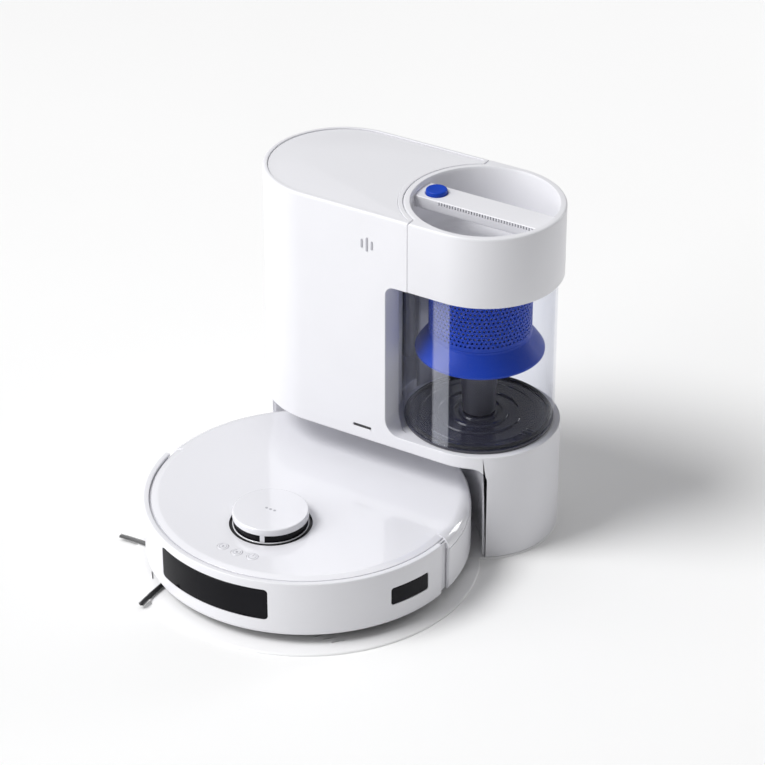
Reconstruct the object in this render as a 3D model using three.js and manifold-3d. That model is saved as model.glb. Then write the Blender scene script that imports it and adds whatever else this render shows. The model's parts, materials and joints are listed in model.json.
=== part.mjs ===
// Robot vacuum on its self-emptying station. Millimetres, +Z up, the robot drives out along -Y.
// Origin: centre of the station's footprint, on the floor.
import * as THREE from 'three';
import { mergeVertices } from 'three/addons/utils/BufferGeometryUtils.js';
import Module from 'manifold-3d';

const wasm = await Module();
wasm.setup();

// ---- clearances
const FIT = 0.3;
const RUN = 0.1;
const THROUGH = 2;

// ---- station shell
const STATION_LENGTH = 340;
const STATION_DEPTH = 169;
const STATION_HEIGHT = 386;
const WALL = 3;
const EDGE_ROUND = 2.5;
const TRAY_THICK = 2.6;
const TRAY_MARGIN = 11;
const TRAY_X = -33;
const TRAY_SHIFT = 5;
const RIB_HEIGHT = 0.6;
const DECK_Z = 128;
const TOP_RIM = 5;
const TOP_PANEL_THICK = 3;
const TOP_PANEL_DROP = 1.2;

// ---- robot
const ROBOT_RADIUS = 173;
const ROBOT_X = -36;
const ROBOT_BACK_Y = 18;
const ROBOT_TOP = 78;
const ROBOT_SKIRT_Z = 14;
const CHASSIS_Z = 12;
const CHASSIS_THICK = 3;
const CHASSIS_WALL_INSET = 10;
const SKIN = 3.5;
const PLATE_THICK = 3;
const BUMPER_TRAVEL = 2;
const BUMPER_RIM = 5.8;
const BUMPER_HALF_ANGLE = 85.4;
const SHOULDER_Z = 64;
const WHEEL_RADIUS = 33;
const WHEEL_WIDTH = 22;
const WHEEL_TRACK = 210;
const WHEEL_LIFT = 0.3;
const ROLLER_RADIUS = 18;
const ROLLER_LENGTH = 160;
const ROLLER_Y = -28;
const ROLLER_AXLE = 2.5;
const ROLLER_GAP = 3.2;
const CASTER_Y = -132;
const CASTER_RADIUS = 12;
const CASTER_TRAIL = 7;
const TURRET_RADIUS = 40;
const TURRET_Y = -71;
const TURRET_TOP = 94.5;
const TURRET_LID = 7.5;
const TURRET_RECESS = 43.5;
const TURRET_TRAVEL = 1.2;
const KEY_RADIUS = 6;
const KEY_SPACING = 18;
const KEY_Y = -135;
const KEY_RISE = 0.3;
const KEY_TRAVEL = 0.5;
const BRUSH_X = -92;
const BRUSH_Y = -85;
const BRUSH_HUB_RADIUS = 13;
const BRUSH_REACH = 94;
const BRISTLE_WIDTH = 4.4;
const BRISTLE_DEEP = 2.2;
const WINDOW_ANGLE = -4.6;
const WINDOW_HALF_ANGLE = 23.2;
const SIDE_WINDOW_ANGLE = 70;
const SIDE_WINDOW_HALF_ANGLE = 8;

// ---- dock bay
const BAY_GAP = 12;
const BAY_TOP = 114;
const BAY_CORNER = 14;
const PORT_RADIUS = 14;
const PORT_Z = 40;

// ---- dust bin
const BIN_SHIFT = 3;
const CUP_RADIUS = 80.5;
const CUP_WALL = 2.5;
const CAP_HEIGHT = 80;
const CAP_CORNER_REACH = 42.5;
const CAP_WALL = 3;
const WINDOW_INSET = 15;
const WINDOW_CORNER_TOP = 10;
const WINDOW_CORNER_BOTTOM = 18;
const BOWL_RADIUS = 76;
const BOWL_DEPTH = 60;
const BRIDGE_WIDTH = 33;
const BRIDGE_THICK = 14;
const BRIDGE_DROP = 6;
const BUTTON_RADIUS = 11.3;
const BUTTON_REACH = 54.5;
const BUTTON_RISE = 2.5;
const BUTTON_TRAVEL = 3;
const SHROUD_RADIUS = 54.5;
const SHROUD_WALL = 2;
const SHROUD_FOOT_Z = 236;
const SKIRT_GAP = 12;
const SKIRT_HEIGHT = 24;
const CONE_TOP_RADIUS = 23;
const CONE_FOOT_RADIUS = 17.5;
const CONE_FOOT_Z = 137;
const FLAP_THICK = 3.5;
const INLET_Z = 285;

// ---- station machinery
const FAN_X = -95;
const FAN_RADIUS = 50;
const FAN_Z = 150;
const FAN_HEIGHT = 46;
const MOTOR_RADIUS = 30;
const MOTOR_HEIGHT = 62;
const SHAFT_RADIUS = 3;
const DUCT_RADIUS = 14;
const DUCT_BORE = 11.5;
const DUCT_Y = 60;

// ---- worked out from the sizes above
const END_RADIUS = STATION_DEPTH / 2;
const END_X = STATION_LENGTH / 2 - END_RADIUS;
const BIN_X = END_X - BIN_SHIFT;
const CAP_CORNER_X = END_X - CAP_CORNER_REACH;
const WINDOW_X = BIN_X - CUP_RADIUS + WINDOW_INSET;
const BUTTON_X = BIN_X - BUTTON_REACH;
const SKIRT_RADIUS = CUP_RADIUS - SKIRT_GAP;
const SHELL_FOOT = TRAY_THICK + FIT;
const ROBOT_Y = ROBOT_BACK_Y - ROBOT_RADIUS;
const TRAY_RADIUS = ROBOT_RADIUS + TRAY_MARGIN;
const TRAY_Y = ROBOT_Y - TRAY_SHIFT;
const BAY_RADIUS = ROBOT_RADIUS + BAY_GAP + WALL + FIT;
const BAY_RIGHT = ROBOT_X + Math.sqrt(BAY_RADIUS ** 2 - (ROBOT_Y + END_RADIUS) ** 2);
const CAP_FOOT_Z = STATION_HEIGHT - CAP_HEIGHT;
const CAP_RADIUS = END_RADIUS - FIT;
const POCKET_RADIUS = CUP_RADIUS + 6;
const PLATE_RADIUS = ROBOT_RADIUS - BUMPER_RIM - BUMPER_TRAVEL - 0.5;
const FLAP_Z = DECK_Z + FIT;
const CUP_FOOT_Z = FLAP_Z + FLAP_THICK + FIT;
const CUP_TOP_Z = CAP_FOOT_Z - FIT;
const CUP_BORE = CUP_RADIUS - CUP_WALL;
const WHEEL_Z = TRAY_THICK + RIB_HEIGHT + WHEEL_LIFT + WHEEL_RADIUS;
const BOWL_FLOOR = STATION_HEIGHT - BOWL_DEPTH;
const BRIDGE_TOP = STATION_HEIGHT - BRIDGE_DROP;
const BRIDGE_FOOT = BRIDGE_TOP - BRIDGE_THICK;

// ---- solid helpers
function solid(geometry) {
  geometry.deleteAttribute('normal');
  geometry.deleteAttribute('uv');
  const merged = mergeVertices(geometry, 1e-4);
  const mesh = new wasm.Mesh({
    numProp: 3,
    vertProperties: Float32Array.from(merged.attributes.position.array),
    triVerts: Uint32Array.from(merged.index.array),
  });
  return new wasm.Manifold(mesh);
}

function box(x0, x1, y0, y1, z0, z1) {
  const geometry = new THREE.BoxGeometry(x1 - x0, y1 - y0, z1 - z0);
  geometry.translate((x0 + x1) / 2, (y0 + y1) / 2, (z0 + z1) / 2);
  return solid(geometry);
}

function turnedBox(length, width, z0, z1, angle, x, y) {
  const geometry = new THREE.BoxGeometry(length, width, z1 - z0);
  geometry.rotateZ(angle);
  geometry.translate(x, y, (z0 + z1) / 2);
  return solid(geometry);
}

function disc(radius, z0, z1, x = 0, y = 0, sides = 36) {
  const geometry = new THREE.CylinderGeometry(radius, radius, z1 - z0, sides);
  geometry.rotateX(Math.PI / 2);
  geometry.translate(x, y, (z0 + z1) / 2);
  return solid(geometry);
}

function rodX(radius, x0, x1, y, z, sides = 24) {
  const geometry = new THREE.CylinderGeometry(radius, radius, x1 - x0, sides);
  geometry.rotateZ(Math.PI / 2);
  geometry.translate((x0 + x1) / 2, y, z);
  return solid(geometry);
}

function rodAlong(radius, from, to, sides = 24) {
  const start = new THREE.Vector3(...from);
  const reach = new THREE.Vector3(...to).sub(start);
  const geometry = new THREE.CylinderGeometry(radius, radius, reach.length(), sides);
  const turn = new THREE.Quaternion().setFromUnitVectors(
    new THREE.Vector3(0, 1, 0), reach.clone().normalize());
  geometry.applyQuaternion(turn);
  const middle = start.add(reach.multiplyScalar(0.5));
  geometry.translate(middle.x, middle.y, middle.z);
  return solid(geometry);
}

// Profile points are [radius, height], listed anticlockwise seen with radius to the right.
function spun(profile, x = 0, y = 0, sides = 36) {
  const points = profile.map(([r, z]) => new THREE.Vector2(r, z));
  if (profile[0][0] > 0) points.push(points[0].clone());
  const geometry = new THREE.LatheGeometry(points, sides);
  geometry.rotateX(Math.PI / 2);
  geometry.translate(x, y, 0);
  return solid(geometry);
}

function prism(shape, z0, z1, curveSegments = 16) {
  const options = { depth: z1 - z0, bevelEnabled: false, curveSegments };
  const geometry = new THREE.ExtrudeGeometry(shape, options);
  geometry.translate(0, 0, z0);
  return solid(geometry);
}

// A prism whose top edge is rounded off by `round`.
function roundedPrism(shape, z0, z1, round, curveSegments) {
  const options = {
    depth: z1 - z0,
    bevelEnabled: true,
    bevelThickness: round,
    bevelSize: round,
    bevelOffset: -round,
    bevelSegments: 2,
    curveSegments,
  };
  const geometry = new THREE.ExtrudeGeometry(shape, options);
  geometry.translate(0, 0, z0 - round);
  const whole = solid(geometry);
  return whole.subtract(box(-900, 900, -900, 900, z0 - 50, z0));
}

// Extrudes a shape drawn in X and Z along Y.
function prismY(shape, y0, y1, curveSegments = 5) {
  const options = { depth: y1 - y0, bevelEnabled: false, curveSegments };
  const geometry = new THREE.ExtrudeGeometry(shape, options);
  geometry.rotateX(Math.PI / 2);
  geometry.translate(0, y1, 0);
  return solid(geometry);
}

// ---- outline helpers
function stadium(inset) {
  const r = END_RADIUS - inset;
  const shape = new THREE.Shape();
  shape.absarc(END_X, 0, r, -Math.PI / 2, Math.PI / 2, false);
  shape.absarc(-END_X, 0, r, Math.PI / 2, 1.5 * Math.PI, false);
  shape.closePath();
  return shape;
}

function pill(length, width, x, y) {
  const r = width / 2;
  const half = length / 2 - r;
  const shape = new THREE.Shape();
  shape.absarc(x + half, y, r, -Math.PI / 2, Math.PI / 2, false);
  shape.absarc(x - half, y, r, Math.PI / 2, 1.5 * Math.PI, false);
  shape.closePath();
  return shape;
}

function cornered(x0, x1, z0, z1, radii) {
  const [bottomLeft, bottomRight, topRight, topLeft] = radii;
  const shape = new THREE.Shape();
  shape.moveTo(x0 + bottomLeft, z0);
  shape.lineTo(x1 - bottomRight, z0);
  if (bottomRight) shape.absarc(x1 - bottomRight, z0 + bottomRight, bottomRight, -Math.PI / 2, 0);
  shape.lineTo(x1, z1 - topRight);
  if (topRight) shape.absarc(x1 - topRight, z1 - topRight, topRight, 0, Math.PI / 2);
  shape.lineTo(x0 + topLeft, z1);
  if (topLeft) shape.absarc(x0 + topLeft, z1 - topLeft, topLeft, Math.PI / 2, Math.PI);
  shape.lineTo(x0, z0 + bottomLeft);
  if (bottomLeft) shape.absarc(x0 + bottomLeft, z0 + bottomLeft, bottomLeft, Math.PI, 1.5 * Math.PI);
  return shape;
}

// ---- node helpers
const assembly = new THREE.Group();

function add(name, body, material) {
  const mesh = body.getMesh();
  const geometry = new THREE.BufferGeometry();
  geometry.setAttribute('position', new THREE.BufferAttribute(mesh.vertProperties, 3));
  geometry.setIndex(new THREE.BufferAttribute(mesh.triVerts, 1));
  const node = new THREE.Mesh(geometry, material.clone());
  node.name = name;
  assembly.add(node);
}

function paint(color, roughness, metalness = 0, extra = {}) {
  return new THREE.MeshStandardMaterial({ color, roughness, metalness, ...extra });
}

const WHITE = paint(0xf0f0f4, 0.3);
const WHITE_GLOSS = paint(0xf4f4f8, 0.12);
const PALE = paint(0xdfe0e4, 0.5);
const BLUE = paint(0x1440b8, 0.35);
const CLEAR = paint(0xdfe6ee, 0.05, 0, { transparent: true, opacity: 0.3 });
const SMOKE = paint(0x1a1c26, 0.1, 0, { transparent: true, opacity: 0.75 });
const BLACK_GLOSS = paint(0x060608, 0.08);
const DARK = paint(0x2a2b30, 0.5);
const GREY = paint(0x5a5c62, 0.5);
const RUBBER = paint(0x1c1c1e, 0.85);
const BRISTLE = paint(0x4a4a4e, 0.8);
const METAL = paint(0xb9bcc2, 0.3, 0.9);
const BOARD = paint(0x1f5a36, 0.6);
const PAPER = paint(0xe8e4d8, 0.9);
const LENS = paint(0x9a9ca2, 0.3);

// ---- shared cutters
function bayCutter(inset) {
  const corner = BAY_CORNER - inset;
  const front = cornered(-500, BAY_RIGHT - inset, -10, BAY_TOP - inset, [0, 0, corner, 0]);
  const round = disc(BAY_RADIUS - inset, -10, BAY_TOP, ROBOT_X, ROBOT_Y, 60);
  return round.intersect(prismY(front, -500, 200));
}

function towerCavity() {
  const whole = prism(stadium(WALL), BAY_TOP - WALL, STATION_HEIGHT - 8);
  const beyondWindow = box(WINDOW_X - WALL, 300, -200, 200, 0, 500);
  return whole.subtract(beyondWindow).subtract(disc(POCKET_RADIUS + WALL, 0, 500, BIN_X));
}

function inletHole(radius) {
  const dx = BIN_X - ROBOT_X;
  const reach = Math.hypot(dx, DUCT_Y);
  const at = (d) => [BIN_X - dx / reach * d, DUCT_Y / reach * d, INLET_Z];
  return rodAlong(radius, at(CUP_BORE - 8), at(POCKET_RADIUS + WALL + 4));
}

function topRecess(inset) {
  const rim = TOP_RIM + inset;
  const whole = prism(stadium(rim), STATION_HEIGHT - TOP_PANEL_THICK - TOP_PANEL_DROP, 500);
  const crescent = disc(CAP_RADIUS + FIT + rim, 0, 600, END_X, 0, 44);
  return whole.subtract(box(CAP_CORNER_X - rim, 300, -200, 200, 0, 600)).subtract(crescent);
}

// ---- station: fixed pieces
function dockTray() {
  const foot = prism(stadium(0), 0, TRAY_THICK);
  const apron = disc(TRAY_RADIUS, 0, TRAY_THICK, TRAY_X, TRAY_Y, 56);
  let tray = foot.add(apron);
  for (const side of [-1, 1]) {
    for (const step of [-1, 0, 1]) {
      const x = ROBOT_X + side * WHEEL_TRACK / 2 + step * 10;
      const y = TRAY_Y - 122 + Math.abs(step) * 3;
      tray = tray.add(turnedBox(14, 2, TRAY_THICK - 1, TRAY_THICK + RIB_HEIGHT, 0.9 * side, x, y));
    }
  }
  return tray.subtract(footPad(-1, FIT)).subtract(footPad(1, FIT));
}

function footPad(side, grow) {
  const shape = pill(60 + 2 * grow, 14 + 2 * grow, side * END_X * 0.9, 55);
  return prism(shape, grow ? -1 : 0, 1.2 + grow, 8);
}

function mainShell() {
  let shell = roundedPrism(stadium(0), SHELL_FOOT, STATION_HEIGHT, EDGE_ROUND, 16);
  const windowCorners = [WINDOW_CORNER_BOTTOM, 0, 0, WINDOW_CORNER_TOP];
  const windowShape = cornered(WINDOW_X, 400, DECK_Z, CAP_FOOT_Z, windowCorners);
  const underSeat = prism(stadium(WALL), 0, BAY_TOP).subtract(box(-400, WINDOW_X - WALL, -200, 200, -10, 300));
  const cavity = prism(stadium(WALL), 0, BAY_TOP).add(towerCavity()).add(underSeat);
  const bayWall = disc(BAY_RADIUS + WALL, -10, BAY_TOP + WALL, ROBOT_X, ROBOT_Y, 60);
  shell = shell.subtract(cavity.subtract(bayWall));
  shell = shell.subtract(bayCutter(0));
  shell = shell.subtract(prismY(windowShape, -200, 200));
  shell = shell.subtract(disc(POCKET_RADIUS, DECK_Z, CAP_FOOT_Z, BIN_X, 0, 44));
  shell = shell.subtract(disc(CAP_RADIUS + FIT, CAP_FOOT_Z - FIT, 500, END_X, 0, 44));
  shell = shell.subtract(box(CAP_CORNER_X, 300, -200, 200, CAP_FOOT_Z - FIT, 500));
  shell = shell.subtract(topRecess(0));
  shell = shell.subtract(rearOpening(0));
  shell = shell.subtract(inletHole(PORT_RADIUS));
  shell = shell.subtract(portHole(PORT_RADIUS));
  shell = shell.subtract(indicator(FIT));
  return shell.subtract(mainsBlock(FIT));
}

function portHole(radius) {
  return rodAlong(radius, [ROBOT_X, 0, PORT_Z], [ROBOT_X, DUCT_Y - DUCT_RADIUS - 8, PORT_Z]);
}

function rearOpening(inset) {
  const rear = ROBOT_X;
  const x0 = -END_X + 6 + inset;
  const x1 = WINDOW_X - 9 - inset;
  const z0 = DECK_Z + 2 + inset;
  const z1 = STATION_HEIGHT - 30 - inset;
  return prismY(cornered(x0, x1, z0, z1, [4, 4, 4, 4]), END_RADIUS - WALL - (inset ? 0 : 1), END_RADIUS + (inset ? 0 : 5));
}

function exhaustCutter(inset) {
  return box(FAN_X + 16 + inset, FAN_X + 72 - inset, 70, 100, FAN_Z + 6 + inset, FAN_Z + 42 - inset);
}

function rearCover() {
  return rearOpening(FIT).subtract(exhaustCutter(0));
}

function exhaustGrille() {
  const low = END_RADIUS - WALL;
  let grille = exhaustCutter(FIT).intersect(box(-300, 300, low, END_RADIUS, 0, 400));
  for (let i = 0; i < 6; i += 1) {
    const z = FAN_Z + 11.5 + i * 5.2;
    grille = grille.subtract(box(FAN_X + 20, FAN_X + 68, 60, 120, z - 1.3, z + 1.3));
  }
  return grille;
}

function bayLiner() {
  const outer = bayCutter(FIT).intersect(prism(stadium(FIT), SHELL_FOOT, BAY_TOP));
  const liner = outer.subtract(bayCutter(FIT + WALL));
  return liner.subtract(portHole(PORT_RADIUS));
}

function topPanel() {
  const top = box(-300, 300, -200, 200, 0, STATION_HEIGHT - TOP_PANEL_DROP);
  const lift = box(-300, 300, -200, 200, 0, STATION_HEIGHT - TOP_PANEL_THICK - TOP_PANEL_DROP + FIT);
  return topRecess(FIT).intersect(top).subtract(lift);
}

function indicator(grow) {
  const shape = cornered(-22 - grow, -1 + grow, 127 - grow, 129.4 + grow, [1, 1, 1, 1]);
  const depth = grow ? WALL + THROUGH : WALL;
  return prismY(shape, -END_RADIUS - (grow ? THROUGH : 0), -END_RADIUS + depth, 4);
}

function badge() {
  const shape = cornered(-8, -2, 341, 357, [3, 3, 3, 3]);
  return prismY(shape, -END_RADIUS - 0.9, -END_RADIUS - 0.3, 6);
}

function mainsBlock(grow) {
  const x = ROBOT_X + 73;
  const front = grow ? END_RADIUS - 24 - grow : END_RADIUS - 24;
  const rear = grow ? END_RADIUS + 5 : END_RADIUS;
  return box(x - 15 - grow, x + 15 + grow, front, rear, 18 - grow, 40 + grow);
}

function mainsInlet() {
  const x = ROBOT_X + 73;
  let inlet = mainsBlock(0).subtract(box(x - 11, x + 11, END_RADIUS - 16, 120, 23, 35));
  for (const side of [-1, 1]) {
    inlet = inlet.add(rodAlong(1.2, [x + side * 4.5, END_RADIUS - 18, 29], [x + side * 4.5, END_RADIUS - 3, 29], 8));
  }
  return inlet;
}

function portSeal() {
  const y0 = ROBOT_Y + ROBOT_RADIUS + 2 * FIT;
  const wall = ROBOT_RADIUS + BAY_GAP;
  const bow = wall - Math.sqrt(wall ** 2 - (PORT_RADIUS + 4) ** 2);
  const y1 = ROBOT_Y + wall - bow - 2 * FIT;
  const ring = rodAlong(PORT_RADIUS + 4, [ROBOT_X, y0, PORT_Z], [ROBOT_X, y1, PORT_Z], 32);
  return ring.subtract(rodAlong(PORT_RADIUS, [ROBOT_X, y0 - 5, PORT_Z], [ROBOT_X, y1 + 5, PORT_Z], 32));
}

function chargeContact(side) {
  const angle = Math.PI / 2 + side * 0.37;
  const r = ROBOT_RADIUS + BAY_GAP / 2;
  const x = ROBOT_X + r * Math.cos(angle);
  const y = ROBOT_Y + r * Math.sin(angle);
  return turnedBox(BAY_GAP - 3, 28, 46, 54, angle, x, y);
}

function ductPath() {
  const bend = 22;
  const dx = BIN_X - ROBOT_X;
  const reach = Math.hypot(dx, DUCT_Y);
  const stop = reach - (POCKET_RADIUS + WALL + FIT);
  const ux = dx / reach;
  const uy = -DUCT_Y / reach;
  const start = ROBOT_Y + BAY_RADIUS + WALL + FIT;
  const path = new THREE.CurvePath();
  const v = (x, y, z) => new THREE.Vector3(x, y, z);
  const low = v(ROBOT_X, DUCT_Y, PORT_Z);
  const lowIn = v(ROBOT_X, start, PORT_Z);
  const lowUp = v(ROBOT_X, DUCT_Y, PORT_Z + bend);
  const high = v(ROBOT_X, DUCT_Y, INLET_Z);
  const highIn = v(ROBOT_X, DUCT_Y, INLET_Z - bend);
  const highOut = v(ROBOT_X + ux * bend, DUCT_Y + uy * bend, INLET_Z);
  const end = v(ROBOT_X + ux * stop, DUCT_Y + uy * stop, INLET_Z);
  path.add(new THREE.QuadraticBezierCurve3(lowIn, low, lowUp));
  path.add(new THREE.LineCurve3(lowUp, highIn));
  path.add(new THREE.QuadraticBezierCurve3(highIn, high, highOut));
  path.add(new THREE.LineCurve3(highOut, end));
  return path;
}

function suctionDuct() {
  const outline = new THREE.Shape();
  outline.absarc(0, 0, DUCT_RADIUS, 0, 2 * Math.PI, false);
  const bore = new THREE.Path();
  bore.absarc(0, 0, DUCT_BORE, 0, 2 * Math.PI, true);
  outline.holes.push(bore);
  const options = { steps: 16, curveSegments: 4, extrudePath: ductPath(), bevelEnabled: false };
  return solid(new THREE.ExtrudeGeometry(outline, options));
}

function fanHousing() {
  const outer = disc(FAN_RADIUS, FAN_Z, FAN_Z + FAN_HEIGHT, FAN_X);
  const inner = disc(FAN_RADIUS - WALL, FAN_Z + WALL, FAN_Z + FAN_HEIGHT - WALL, FAN_X);
  const eye = disc(18, FAN_Z - 5, FAN_Z + 10, FAN_X);
  const shaftWay = disc(SHAFT_RADIUS + 3, FAN_Z, FAN_Z + FAN_HEIGHT + 5, FAN_X, 0, 24);
  const vent = box(FAN_X - 12, FAN_X + 12, 20, 80, FAN_Z + 12, FAN_Z + 32);
  return outer.subtract(inner).subtract(eye).subtract(shaftWay).subtract(vent);
}

function fanMotor() {
  const z = FAN_Z + FAN_HEIGHT + FIT;
  const can = disc(MOTOR_RADIUS, z, z + MOTOR_HEIGHT, FAN_X, 0, 40);
  const shaft = disc(SHAFT_RADIUS, FAN_Z + 14, z + 5, FAN_X, 0, 24);
  return can.add(shaft);
}

function fanImpeller() {
  const z = FAN_Z + 8;
  const r = FAN_RADIUS - WALL - 4;
  let wheel = disc(r, z + 22, z + 25, FAN_X, 0, 30).add(disc(SHAFT_RADIUS + 4, z, z + 25, FAN_X, 0, 24));
  for (let i = 0; i < 7; i += 1) {
    const a = i * 2 * Math.PI / 7;
    const m = (r + SHAFT_RADIUS + 2) / 2;
    const x = FAN_X + m * Math.cos(a);
    wheel = wheel.add(turnedBox(r - SHAFT_RADIUS - 3, 2, z + 4, z + 23, a, x, m * Math.sin(a)));
  }
  return wheel.subtract(disc(SHAFT_RADIUS + RUN, z - 2, z + 40, FAN_X, 0, 24));
}

function exhaustFilter() {
  const front = DUCT_Y + DUCT_RADIUS + 1;
  const block = box(FAN_X + 18, FAN_X + 70, front, END_RADIUS - WALL - 1.5, FAN_Z + 8, FAN_Z + 40);
  return block.subtract(box(FAN_X + 22, FAN_X + 66, 0, front + 2, FAN_Z + 12, FAN_Z + 36));
}

// ---- dust bin
function capOutline(inset) {
  const r = CAP_RADIUS - inset;
  const shape = new THREE.Shape();
  shape.moveTo(END_X, -r);
  shape.absarc(END_X, 0, r, -Math.PI / 2, Math.PI / 2, false);
  shape.lineTo(CAP_CORNER_X + FIT + inset, r);
  const y = Math.sqrt(r * r - (END_X - CAP_CORNER_X - FIT - inset) ** 2);
  const a = Math.atan2(y, CAP_CORNER_X + FIT + inset - END_X);
  shape.absarc(END_X, 0, r, a, 2 * Math.PI - a, false);
  shape.lineTo(CAP_CORNER_X + FIT + inset, -r);
  shape.closePath();
  return shape;
}

function binCap() {
  let cap = roundedPrism(capOutline(0), CAP_FOOT_Z, STATION_HEIGHT, EDGE_ROUND, 16);
  cap = cap.subtract(spun([[0, BOWL_FLOOR], [BOWL_RADIUS - 14, BOWL_FLOOR], [BOWL_RADIUS - 4, BOWL_FLOOR + 4],
    [BOWL_RADIUS, BOWL_FLOOR + 14], [BOWL_RADIUS, STATION_HEIGHT + 5], [0, STATION_HEIGHT + 5]], END_X, 0, 44));
  return cap.subtract(disc(CAP_RADIUS - CAP_WALL, CAP_FOOT_Z - 5, BOWL_FLOOR - CAP_WALL, END_X, 0, 44));
}

function handleBridge() {
  const half = BRIDGE_WIDTH / 2;
  let bridge = box(0, 300, -half, half, BRIDGE_FOOT, BRIDGE_TOP);
  bridge = bridge.intersect(disc(BOWL_RADIUS - FIT, 0, 500, END_X, 0, 44));
  bridge = bridge.subtract(disc(BUTTON_RADIUS + FIT, BRIDGE_TOP - 11, 500, BUTTON_X, 0, 40));
  for (let i = 0; i < 16; i += 1) {
    const x = BUTTON_X + 22 + i * 6;
    bridge = bridge.subtract(box(x, x + 3, -half - 5, -half + 1.5, BRIDGE_TOP - 6, BRIDGE_TOP - 2));
  }
  return bridge;
}

function releaseButton() {
  const top = BRIDGE_TOP + BUTTON_RISE + 2;
  const low = BRIDGE_TOP - 11 + FIT + BUTTON_TRAVEL;
  const r = BUTTON_RADIUS;
  return spun([[0, low], [r, low], [r, top - 1.5], [r - 1.5, top], [0, top]], BUTTON_X, 0, 40);
}

function binCup() {
  const outer = disc(CUP_RADIUS, CUP_FOOT_Z, CUP_TOP_Z, BIN_X, 0, 44);
  const inner = disc(CUP_BORE, 0, 500, BIN_X, 0, 44);
  return outer.subtract(inner).subtract(inletHole(DUCT_BORE));
}

function cycloneShroud() {
  const r = SHROUD_RADIUS;
  const rim = CUP_TOP_Z - 2 * FIT;
  const bore = r - SHROUD_WALL;
  let shroud = spun([[bore, SHROUD_FOOT_Z + FIT], [r, SHROUD_FOOT_Z + FIT], [r, rim - 2],
    [CUP_BORE - FIT, rim - 2], [CUP_BORE - FIT, rim], [bore, rim]], BIN_X, 0, 32);
  const rows = 3;
  const span = rim - 8 - SHROUD_FOOT_Z - 10;
  for (let row = 0; row < rows; row += 1) {
    const z = SHROUD_FOOT_Z + 10 + row * span / (rows - 1);
    for (let i = 0; i < 6; i += 1) {
      const a = (i + (row % 2) / 2) * Math.PI / 6;
      const dx = 80 * Math.cos(a);
      const dy = 80 * Math.sin(a);
      shroud = shroud.subtract(rodAlong(6, [BIN_X - dx, -dy, z], [BIN_X + dx, dy, z], 6));
    }
  }
  return shroud;
}

function cycloneSkirt() {
  const z = SHROUD_FOOT_Z;
  const low = z - SKIRT_HEIGHT;
  const eye = CONE_TOP_RADIUS + FIT;
  return spun([[eye, z - 3], [SHROUD_RADIUS - 2, z - 3], [SKIRT_RADIUS - 2, low], [SKIRT_RADIUS, low],
    [SKIRT_RADIUS, low + 3], [SHROUD_RADIUS, z - 4], [SHROUD_RADIUS, z], [eye, z]], BIN_X, 0, 32);
}

function cycloneCone() {
  const top = SHROUD_FOOT_Z;
  return spun([[CONE_FOOT_RADIUS - 2, CONE_FOOT_Z], [CONE_FOOT_RADIUS, CONE_FOOT_Z],
    [CONE_TOP_RADIUS - 4, CONE_FOOT_Z + 36], [CONE_TOP_RADIUS, top - 4], [CONE_TOP_RADIUS, top],
    [CONE_TOP_RADIUS - 2, top], [CONE_TOP_RADIUS - 2, top - 4], [CONE_TOP_RADIUS - 6, CONE_FOOT_Z + 36]], BIN_X, 0, 24);
}

function binFilter() {
  const pleats = 24;
  const outer = SHROUD_RADIUS - SHROUD_WALL - 6;
  const shape = new THREE.Shape();
  for (let i = 0; i < 2 * pleats; i += 1) {
    const a = i * Math.PI / pleats;
    const r = i % 2 ? outer : outer - 6;
    if (i) shape.lineTo(BIN_X + r * Math.cos(a), r * Math.sin(a));
    else shape.moveTo(BIN_X + r, 0);
  }
  const top = BOWL_FLOOR - CAP_WALL - 3;
  return prism(shape, SHROUD_FOOT_Z + 6, top).subtract(disc(outer - 12, 0, 500, BIN_X, 0, 32));
}

function binSeal() {
  const r = CUP_BORE - FIT;
  return spun([[r - 5, CAP_FOOT_Z], [r, CAP_FOOT_Z], [r, CAP_FOOT_Z + 3], [r - 5, CAP_FOOT_Z + 3]], BIN_X);
}

function binFlap() {
  const r = CUP_RADIUS - 1;
  const top = FLAP_Z + FLAP_THICK;
  const boss = CONE_FOOT_Z - 1.5;
  return spun([[0, FLAP_Z], [r, FLAP_Z], [r, top], [46, top], [46, top + 2], [43, top + 2], [43, top],
    [21, top], [18, boss], [12, boss], [12, top], [0, top]], BIN_X, 0, 40);
}

function flapSeal() {
  const low = FLAP_Z + FLAP_THICK + FIT;
  const r = CUP_BORE - 1;
  return spun([[r - 3, low], [r, low], [r, low + 2.5], [r - 3, low + 2.5]], BIN_X, 0, 36);
}

// ---- robot, drawn about its own centre on the floor
function ringSector(inner, outer, z0, z1, middle, half, segments = 22) {
  const shape = new THREE.Shape();
  shape.absarc(0, 0, outer, middle - half, middle + half, false);
  shape.absarc(0, 0, inner, middle + half, middle - half, true);
  shape.closePath();
  return prism(shape, z0, z1, segments);
}

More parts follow.
